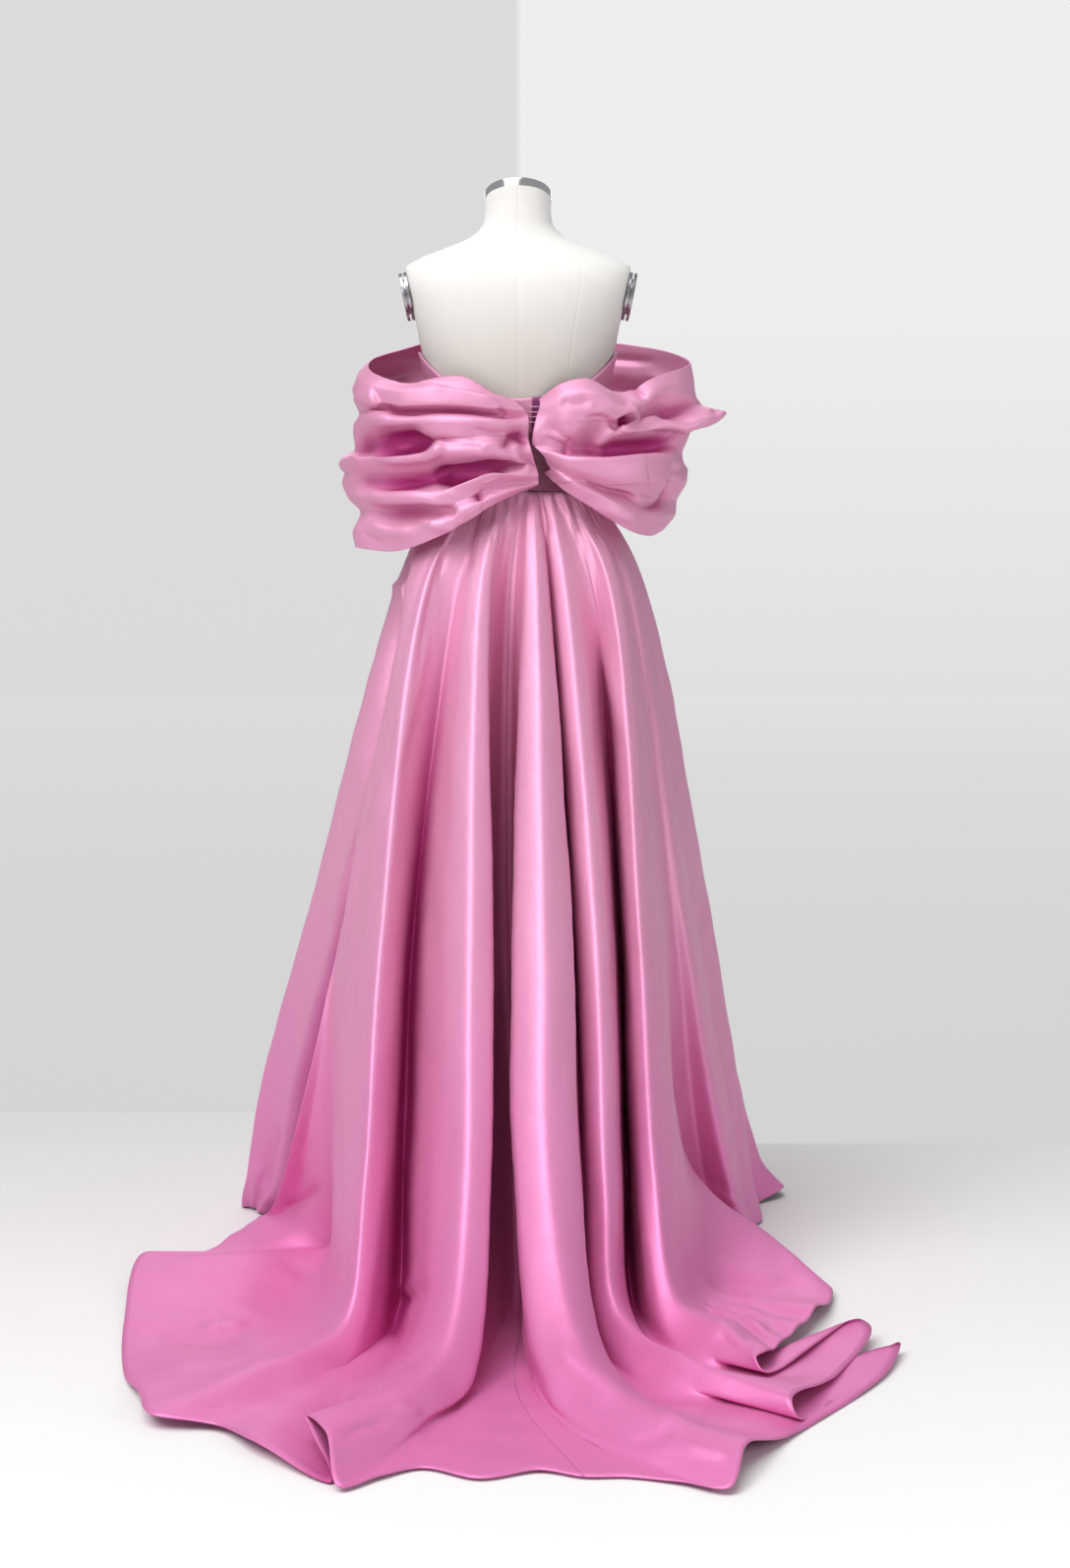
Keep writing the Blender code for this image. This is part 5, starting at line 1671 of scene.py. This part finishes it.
@dataclass
class Stand:
    """The round base and the pole with its collars."""

    base_radius: float = 0.180
    base_height: float = 0.014
    pole_radius: float = 0.0175
    gap: float = 0.3 * MM

    def build(self, wardrobe: Wardrobe) -> list[bpy.types.Object]:
        """Make the base and the pole."""
        pieces = [self.base(), self.pole()]
        for piece, node in zip(pieces, ("stand_base", "stand_pole")):
            wardrobe.dress(piece, Slot.STEEL)
            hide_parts(node)
            LOG.info("%s: %d points", piece.name, len(piece.data.vertices))
        return pieces

    def base(self) -> bpy.types.Object:
        """Make the base, with a rounded rim."""
        Bench.clear()
        bpy.ops.mesh.primitive_cylinder_add(vertices=96, radius=self.base_radius,
                                            depth=self.base_height,
                                            location=(0, 0, self.base_height / 2))
        bpy.ops.object.transform_apply(location=True, rotation=True, scale=True)
        bench = Bench("base_painted")
        bench.round_edges(lambda c, n: n.z > 0.9, 0.007, 5)
        return bench.finish()

    def pole(self) -> bpy.types.Object:
        """Extrude the pole upwards from its foot collar to the plate under the form."""
        low, high = self.base_height + self.gap, FORM_BOTTOM - self.gap
        stations = (
            (0.048, low + 0.006), (self.pole_radius + 0.010, low + 0.022),
            (self.pole_radius + 0.007, low + 0.070), (self.pole_radius, low + 0.075),
            (self.pole_radius, high - 0.053), (self.pole_radius + 0.008, high - 0.050),
            (self.pole_radius + 0.008, high - 0.012), (0.055, high - 0.008), (0.055, high),
        )
        Bench.clear()
        bpy.ops.mesh.primitive_cylinder_add(vertices=64, radius=0.048, depth=0.004,
                                            location=(0, 0, low + 0.002))
        bpy.ops.object.transform_apply(location=True, rotation=True, scale=True)
        bench = Bench("pole_painted")
        bench.pick(lambda centre, normal: normal.z > 0.9)
        radius, height = 0.048, low + 0.004
        for next_radius, next_height in stations:
            bpy.ops.mesh.extrude_region_move(
                TRANSFORM_OT_translate={"value": (0, 0, next_height - height)})
            grow = next_radius / radius
            bpy.ops.transform.resize(value=(grow, grow, 1.0),
                                     center_override=(0, 0, next_height))
            radius, height = next_radius, next_height
        bpy.ops.object.mode_set(mode="OBJECT")
        return bench.finish()


@dataclass
class Bodice:
    """The strapless bodice: five panels, the placket and the beaded panel."""

    edges: tuple[float, float] = (8.0, 19.5)
    underlap_out: float = 1.5 * MM
    underlap_thickness: float = 1.0 * MM
    underlap_past: float = 7.0
    rows: int = 30
    beaded_turns: tuple[float, float] = (6.0, 40.0)
    bead_radius: float = 1.15 * MM
    bead_rows: int = 24
    bead_columns: int = 18
    bead_shift: float = 0.9
    beads_missing: float = 0.12
    bead_rise: float = 0.55
    bead_shake: float = 0.35 * MM
    bead_sizes: tuple[float, float] = (0.75, 1.0)
    bead_seed: int = 7

    def cuts(self) -> list[Cut]:
        """List the bodice's cut pieces."""
        left, right = self.edges
        panels = (
            ("bodice_back_right", right, 52.0, 34, (0.075, 0.170), 0.0098),
            ("bodice_side_right", 52.0, 112.0, 52, (0.145, 0.212), 0.0235),
            ("bodice_front", 112.0, 248.0, 110, (0.330, 0.240), 0.068),
            ("bodice_side_left", 248.0, 308.0, 52, (0.145, 0.212), 0.0235),
            ("bodice_back_left", 308.0, 360.0 + left, 52, (0.135, 0.175), 0.0195),
        )
        cuts = []
        for name, first, last, columns, flat, area in panels:
            grid = draw_in(TORSO.bodice(first, last, columns, self.rows))
            cuts.append(Cut(name + "_satin", name, grid, flat, area, Held.STRETCHED,
                            ("dress_form",)))
        grid = TORSO.bodice(left - self.underlap_past, right + self.underlap_past, 26, 24,
                            self.underlap_out)
        cuts.append(Cut("placket", "back_underlap", grid, (0.062, 0.148), 0.0085,
                        Held.STRETCHED, ("dress_form",), Slot.UNDERLAP,
                        self.underlap_thickness))
        return cuts

    def beaded_cut(self) -> Cut:
        """Give the beaded panel's cut."""
        grid = TORSO.bodice(*self.beaded_turns, 34, 26, BEADED_OUT,
                            top=lambda turn: BEADED_TOP - BEADED_FALL * turn)
        return Cut("beaded_ground", "beaded_panel", grid, (0.076, 0.092), 0.0058,
                   Held.STRETCHED, ("bodice_back_right",), Slot.BEADED, BEADED_THICKNESS)

    def beads(self, ground: Points) -> bpy.types.Object:
        """Sew small round beads over the beaded ground, in staggered rows.

        Args:
            ground: the beaded panel's points.

        Returns:
            The beads, as one piece.
        """
        Bench.clear()
        bpy.ops.mesh.primitive_ico_sphere_add(subdivisions=1, radius=self.bead_radius)
        pattern = bpy.context.active_object
        corners = np.array([v.co for v in pattern.data.vertices])
        sides = np.array([tuple(f.vertices) for f in pattern.data.polygons])
        bpy.data.objects.remove(pattern)
        rng = np.random.default_rng(self.bead_seed)
        normal = Relief(ground).outward() * -1
        points, faces = [], []
        columns, rows = ground.shape[:2]
        for r in np.linspace(1, rows - 2, self.bead_rows):
            shift = self.bead_shift if len(points) % 2 else 0.0
            for c in np.linspace(1, columns - 2, self.bead_columns) + shift:
                if rng.random() < self.beads_missing:
                    continue
                here = (int(min(c, columns - 1)), int(r))
                out = normal[here] * (BEADED_THICKNESS / 2 + self.bead_radius * self.bead_rise)
                shake = rng.normal(scale=self.bead_shake, size=3)
                shake -= normal[here] * (shake @ normal[here])
                size = rng.uniform(*self.bead_sizes)
                faces.append(sides + len(points) * len(corners))
                points.append(corners * size + ground[here] + out + shake)
        mesh = bpy.data.meshes.new("beads")
        mesh.from_pydata(np.concatenate(points).tolist(), [], np.concatenate(faces).tolist())
        mesh.shade_smooth()
        piece = bpy.data.objects.new("beads", mesh)
        bpy.context.scene.collection.objects.link(piece)
        return piece

    def build(self, wardrobe: Wardrobe) -> None:
        """Sew the bodice and its beads."""
        for cut in self.cuts():
            cut.declare(cut.sew(wardrobe))
        cut = self.beaded_cut()
        ground = cut.sew(wardrobe)
        beads = wardrobe.dress(self.beads(cut.grid), Slot.BEADED, wardrobe.beads)
        cut.declare(ground, [beads])
        LOG.info("beads: %d points", len(beads.data.vertices))


@dataclass
class Closure:
    """The four elastic bars that lace across the gap, kept from the solids."""

    bars: tuple[str, ...] = ("closure_bar_1", "closure_bar_2", "closure_bar_3",
                             "closure_bar_4")

    def build(self, wardrobe: Wardrobe, nodes: dict[str, bpy.types.Object]) -> None:
        """Give the bars their finish."""
        for name in self.bars:
            for part in nodes[name].material_slots:
                part.material = wardrobe.made[Slot.ELASTIC]
            LOG.info("%s: kept", name)


@dataclass
class Drape:
    """One great folded drape, off the shoulder and round the arm's opening."""

    name: str
    node: str
    folds: tuple[DrapeFold, ...]
    turns: tuple[float, ...]
    creases: tuple[Crease, ...]
    starts: tuple[float, ...]
    facing: int
    flat: tuple[float, float]
    area: float
    along: int = 32
    across: int = 14
    crisp: float = 0.5
    waves: float = 0.55 * MM
    wave_sizes: tuple[float, ...] = (0.045, 0.08, 0.13)
    held_columns: tuple[float, float] = (7.0, 10.0)
    # How far the folds count and how deep is wholly dark, for the satin's painted shade.
    shade_reach: tuple[float, float] = (11.0, 10.0)
    shade_depth: float = 17.0 * MM
    seed: int = 3

    @staticmethod
    def seat_out(height: float) -> float:
        """Give how far out a drape's middle lies where it is sewn down on the bodice."""
        if height < BEADED_TOP:
            rise = (height - BODICE_BOTTOM) / (BEADED_TOP - BODICE_BOTTOM)
            face = BEADED_OUT + BEADED_THICKNESS / 2 + BODICE_EASE * rise
        else:
            face = BODICE_OUT + SOLID_CLOTH / 2 + BODICE_EASE
        return face + SEWN_GAP + SOLID_CLOTH / 2

    def surface(self) -> Points:
        """Run the drape's fold lines round the body and a surface through them."""
        net = []
        for start, fold in zip(self.starts, self.folds):
            line = []
            for turn, reach, height in zip((start, *self.turns), fold.reach, fold.height):
                high = height * MM
                far = reach * MM or TORSO.reach(turn, high, self.seat_out(high))
                bearing = math.radians(turn)
                line.append((far * math.sin(bearing), -far * math.cos(bearing), high))
            net.append(line)
        lines = spline(np.array(net).swapaxes(0, 1), [self.along] * len(self.turns))
        lines = lines.swapaxes(0, 1)
        fine = spline(lines, [self.across] * (len(self.folds) - 1))
        return crisped(fine, lines, self.across, self.crisp).swapaxes(0, 1)

    def creased(self) -> Points:
        """Crease the surface, and keep its sewn ends still."""
        smooth = self.surface()
        bent = Relief(smooth, self.facing).lay(self.creases)
        relief = Relief(bent, self.facing)
        wave = soft_waves(bent.reshape(-1, 3), self.wave_sizes, self.seed)
        bent = bent + relief.outward() * wave.reshape(bent.shape[:2])[:, :, None] * self.waves
        first, last = self.held_columns
        column = np.arange(len(bent))
        hold = np.clip(column / first, 0, 1)[:, None, None]
        far = np.clip((len(bent) - 1 - column) / last, 0, 1)[:, None, None]
        return smooth + (bent - smooth) * hold * far

    def build(self, wardrobe: Wardrobe) -> None:
        """Sew the drape."""
        grid = draw_in(self.creased(), 0.0, SEAM_GAP)
        # The hollow mask sets where the satin paints shade deep in the folds.
        cut = Cut(self.name, self.node, grid, self.flat, self.area, Held.DRAPED,
                  ("bodice_front", "bodice_back_left", "bodice_back_right"),
                  flipped=self.facing < 0,
                  hollow=hollows(grid, self.facing, self.shade_reach, self.shade_depth))
        cut.declare(cut.sew(wardrobe))


# The waves that make up the gathers: share, length in metres, phase, swing and its rate
GATHER_WAVES = (
    (1.0, 0.0135, 0.0, 1.3, 60.0),
    (0.7, 0.0225, 0.8, 0.0, 0.0),
    (0.5, 0.0087, 0.0, 2.1, 41.0),
)


@dataclass
class Skirt:
    """The skirt's front and its two backs, which carry the train."""

    along: tuple[int, ...] = (14, 22, 20, 16, 14, 18)
    across: int = 15
    gather: float = 1.7 * MM
    gather_fall: float = 0.055
    ripple: float = 1.5 * MM
    crisp: float = 0.44
    wrap: int = 60
    soft_from: float = 0.80
    soft_over: float = 0.18
    softened: float = 0.85
    wave_sizes: tuple[float, ...] = (0.06, 0.11, 0.19)
    wave_seed: int = 11
    wave_fall: float = 0.25
    # How far the folds count, how deep is wholly dark, and how strong the painted shade on the
    # tucked left columns is.
    shade_reach: tuple[float, float] = (17.0, 2.0)
    shade_depth: float = 42.0 * MM
    tuck_shade: float = 1.2
    names: tuple[str, ...] = ("skirt_front", "skirt_back_right", "skirt_back_left")

    @staticmethod
    def waist_point(turn: float) -> np.ndarray:
        """Give a point of the waist seam."""
        return TORSO.point(turn, WAIST, BODICE_OUT)

    def fold_line(self, fold: Fold) -> Points:
        """Give one fold's points, from the waist to the hem."""
        points = [self.waist_point(fold.waist)]
        for place, height in ((fold.hip, HIP), (fold.knee, KNEE), (fold.shin, SHIN)):
            points.append(np.array((place[0] * MM, place[1] * MM, height)))
        points += [np.array(place) * MM for place in (fold.foot, fold.run, fold.hem)]
        return np.array(points)

    def front_lines(self) -> list[Points]:
        """Give the hidden front's soft pleats as fold lines, from its left to its right."""
        first, last = FRONT_TURNS
        count = 2 * FRONT_PLEATS + 1
        lines = []
        for k in range(count):
            turn = last + (first - last) * k / (count - 1)
            wave = -1.0 if k % 2 else FRONT_SWING[(k // 2) % len(FRONT_SWING)]
            side, ahead = math.sin(math.radians(turn)), -math.cos(math.radians(turn))
            points = [self.waist_point(turn)]
            for ring in FRONT_RINGS:
                reach = 1 / math.hypot(side / ring.half_width, ahead / ring.front)
                reach += ring.swing * wave
                points.append(np.array((reach * side, reach * ahead, ring.height)) * MM)
            lines.append(np.array(points))
        return lines

    def surface(self) -> tuple[Points, int, int]:
        """Run the whole skirt as one surface.

        Returns:
            Its points, and the columns of the right side seam and of the centre back seam.
        """
        lines = [self.fold_line(fold) for fold in LEFT_SIDE_FOLDS]
        lines += self.front_lines()
        lines += [self.fold_line(fold) for fold in RIGHT_SIDE_FOLDS]
        side_seam = len(lines) * self.across
        lines += [self.fold_line(fold) for fold in BACK_RIGHT_FOLDS]
        back_seam = len(lines) * self.across
        lines += [self.fold_line(fold) for fold in BACK_LEFT_FOLDS]
        fine = spline(np.array(lines).swapaxes(0, 1), self.along).swapaxes(0, 1)
        smooth = spline(fine, [self.across] * (len(lines) - 1))
        down = np.linspace(0.0, 1.0, smooth.shape[1])[:, None]
        low = np.clip((down - self.soft_from) / self.soft_over, 0, 1)
        firm = self.crisp * (1.0 - self.softened * low)
        return crisped(smooth, fine, self.across, firm), side_seam, back_seam

    def gathers(self, grid: Points) -> Points:
        """Give the small gathers under the waist seam, deep at the seam and gone at the hip."""
        round_waist = np.linalg.norm(np.diff(grid[:, 0], axis=0), axis=1)
        s = np.concatenate([[0.0], np.cumsum(round_waist)])[:, None]
        drop = WAIST - grid[:, :, 2]
        height = sum(share * np.sin(s * 2 * math.pi / length + phase + swing * np.sin(s * rate))
                     for share, length, phase, swing, rate in GATHER_WAVES)
        reach = self.gather_fall * (1.0 + 0.45 * np.sin(s * 47.0 + 0.6))
        fade = np.clip(drop / 0.010, 0, 1) * np.exp(-np.maximum(drop, 0) / reach)
        return height / 1.6 * fade * self.gather

    def creased(self) -> tuple[Points, int, int]:
        """Crease and gather the whole surface, and lay it on the floor."""
        fine, side_seam, back_seam = self.surface()
        fine[:, :, 2] = np.maximum(fine[:, :, 2], FLOOR_LIFT)
        bent = Relief(fine).lay(SKIRT_CREASES)
        out = Relief(bent).outward()
        wave = soft_waves(bent.reshape(-1, 3), self.wave_sizes, self.wave_seed)
        wave = wave.reshape(bent.shape[:2])
        low = np.clip((WAIST - bent[:, :, 2]) / self.wave_fall, 0, 1)
        push = self.gathers(bent) + wave * low * self.ripple
        bent = bent + out * push[:, :, None]
        bent[:, :, 2] = np.maximum(bent[:, :, 2], FLOOR_LIFT)
        bent[:, 0] = fine[:, 0]
        return bent, side_seam, back_seam

    def build(self, wardrobe: Wardrobe) -> None:
        """Sew the three panels."""
        bent, side_seam, back_seam = self.creased()
        panels = (
            (bent[:side_seam + 1], 0.0, SEAM_GAP, (1.85, 1.14), 1.32),
            (bent[side_seam:back_seam + 1], SEAM_GAP, SEAM_GAP, (1.75, 1.86), 1.58),
            (bent[back_seam:], SEAM_GAP, 0.0, (1.45, 1.86), 1.24),
        )
        # The hollow mask for the satin's painted shade, taken round the whole skirt.
        ring = np.concatenate([bent[-self.wrap:], bent, bent[:self.wrap]])
        depth = hollows(ring, 1, self.shade_reach, self.shade_depth)[self.wrap:-self.wrap]
        # Painted shade: the first columns, tucked behind the back panel's left edge, are darkened,
        # fading out over the next ones.
        tuck = self.tuck_shade - np.arange(len(bent)) / (2.0 * self.across)
        depth = np.maximum(depth, np.clip(tuck, 0, 1)[:, None])
        spans = ((0, side_seam + 1), (side_seam, back_seam + 1), (back_seam, len(bent)))
        for name, (low, high), (grid, start, end, flat, area) in zip(self.names, spans, panels):
            cut = Cut(name + "_satin", name, draw_in(grid, start, end), flat, area,
                      Held.GATHERED, ("dress_form",), hollow=depth[low:high])
            cut.declare(cut.sew(wardrobe))


@dataclass
class Lamp:
    """One soft lamp: a panel of a size, or an even wash of light where its size is none."""

    name: str
    place: tuple[float, float, float]
    aim: tuple[float, float, float]
    size: float
    power: float
    spread: float = 0.0
    colour: Colour = (1.0, 1.0, 1.0)

    def hang(self) -> None:
        """Hang the lamp."""
        data = bpy.data.lights.new(self.name, "AREA" if self.size else "SUN")
        data.energy = self.power
        if self.size:
            data.size = self.size
        else:
            data.angle = math.radians(self.spread)
        data.color = self.colour
        lamp = bpy.data.objects.new(self.name, data)
        bpy.context.scene.collection.objects.link(lamp)
        lamp.location = self.place
        aim = Vector(self.aim) - Vector(self.place)
        lamp.rotation_euler = aim.to_track_quat("-Z", "Y").to_euler()


@dataclass
class Studio:
    """The camera, the plain floor, the lamps and the pale surround."""

    lamps: tuple[Lamp, ...] = (
        Lamp("wash", (-1.0, -1.2, 3.4), (0.0, 0.0, 0.0), 0.0, 2.3, 50.0),
        Lamp("key", (-2.0, -3.0, 2.6), (0.0, -0.3, 0.8), 1.4, 44.0),
        Lamp("fill", (2.6, -2.8, 1.6), (0.0, -0.2, 0.7), 1.4, 20.0),
        Lamp("front_fill", (0.0, 3.6, 2.4), (0.0, 0.1, 0.7), 2.4, 26.0),
    )
    # The backdrop's painted light: darker on the left and lower down.
    low_walls: tuple[Colour, Colour] = ((0.71, 0.70, 0.705), (0.745, 0.74, 0.745))
    high_walls: tuple[Colour, Colour] = ((0.72, 0.705, 0.71), (0.855, 0.855, 0.855))
    surround_light: float = 0.34
    floor_size: float = 24.0
    floor_drop: float = 0.0004
    sensor: float = 36.0
    sight: float = 100.0
    wall_spans: tuple[tuple[str, float, float], ...] = (("X", -0.0012, 0.0012),
                                                        ("Z", -0.068, 0.08))

    def camera(self) -> None:
        """Set the camera where the picture was taken from."""
        data = bpy.data.cameras.new("camera")
        camera = bpy.data.objects.new("camera", data)
        bpy.context.scene.collection.objects.link(camera)
        camera.location = EYE.place
        camera.rotation_euler = (math.pi / 2 - EYE.pitch, 0.0, -EYE.yaw)
        data.sensor_width = self.sensor
        data.sensor_fit = "AUTO"
        data.lens = EYE.focal / EYE.height * self.sensor
        data.clip_end = self.sight
        bpy.context.scene.camera = camera

    def floor(self) -> None:
        """Lay the floor."""
        Bench.clear()
        bpy.ops.mesh.primitive_plane_add(size=self.floor_size,
                                         location=(0, 0, -self.floor_drop))
        bpy.ops.object.transform_apply(location=True, rotation=True, scale=True)
        floor = bpy.context.active_object
        floor.name = "studio_floor"
        floor.data.materials.append(StudioFloor().make())

    def sky(self) -> None:
        """Light the room evenly, and show a pale wall behind."""
        world = bpy.data.worlds.new("pale room")
        bpy.context.scene.world = world
        world.use_nodes = True
        nodes, links = world.node_tree.nodes, world.node_tree.links
        light = nodes["Background"]
        light.inputs["Color"].default_value = (1.0, 1.0, 1.0, 1.0)
        light.inputs["Strength"].default_value = self.surround_light
        # The wall seen behind is painted light, darker on the left and lower down, shown to camera
        # rays alone.
        wall = nodes.new("ShaderNodeBackground")
        where = nodes.new("ShaderNodeTexCoord")
        split = nodes.new("ShaderNodeSeparateXYZ")
        links.new(where.outputs["Generated"], split.inputs[0])
        shares = []
        for axis, first, last in self.wall_spans:
            share = nodes.new("ShaderNodeMapRange")
            share.inputs["From Min"].default_value = first
            share.inputs["From Max"].default_value = last
            links.new(split.outputs[axis], share.inputs["Value"])
            shares.append(share.outputs["Result"])
        rise = nodes.new("ShaderNodeMix")
        rise.data_type = "RGBA"
        links.new(shares[1], rise.inputs[0])
        for index, (left, right) in ((6, self.low_walls), (7, self.high_walls)):
            tones = nodes.new("ShaderNodeValToRGB")
            tones.color_ramp.elements[0].color = (*left, 1.0)
            tones.color_ramp.elements[1].color = (*right, 1.0)
            links.new(shares[0], tones.inputs["Fac"])
            links.new(tones.outputs["Color"], rise.inputs[index])
        links.new(rise.outputs[2], wall.inputs["Color"])
        ray = nodes.new("ShaderNodeLightPath")
        either = nodes.new("ShaderNodeMixShader")
        links.new(ray.outputs["Is Camera Ray"], either.inputs["Fac"])
        links.new(light.outputs[0], either.inputs[1])
        links.new(wall.outputs[0], either.inputs[2])
        links.new(either.outputs[0], nodes["World Output"].inputs["Surface"])

    def build(self) -> None:
        """Set up the studio."""
        self.camera()
        self.floor()
        self.sky()
        for lamp in self.lamps:
            lamp.hang()
        bpy.context.scene.view_settings.view_transform = "Standard"
        LOG.info("studio: %d lamps", len(self.lamps))


def main() -> None:
    """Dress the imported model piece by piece."""
    logging.basicConfig(level=logging.INFO, format="%(name)s: %(message)s", stream=sys.stdout)
    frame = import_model()
    Studio().build()
    wardrobe = Wardrobe()
    DressForm().build(wardrobe)
    NeckCap().build(wardrobe)
    ArmPlate(1, "arm_plate_right").build(wardrobe)
    ArmPlate(-1, "arm_plate_left").build(wardrobe)
    Stand().build(wardrobe)
    Bodice().build(wardrobe)
    Closure().build(wardrobe, frame["nodes"])
    Drape("drape_left_satin", "drape_left", LEFT_DRAPE, LEFT_TURNS, LEFT_CREASES,
          LEFT_STARTS, 1, (0.95, 0.36), 0.24).build(wardrobe)
    Drape("drape_right_satin", "drape_right", RIGHT_DRAPE, RIGHT_TURNS, RIGHT_CREASES,
          RIGHT_STARTS, -1, (0.95, 0.33), 0.20, seed=5).build(wardrobe)
    Skirt().build(wardrobe)


if __name__ == "__main__":
    main()
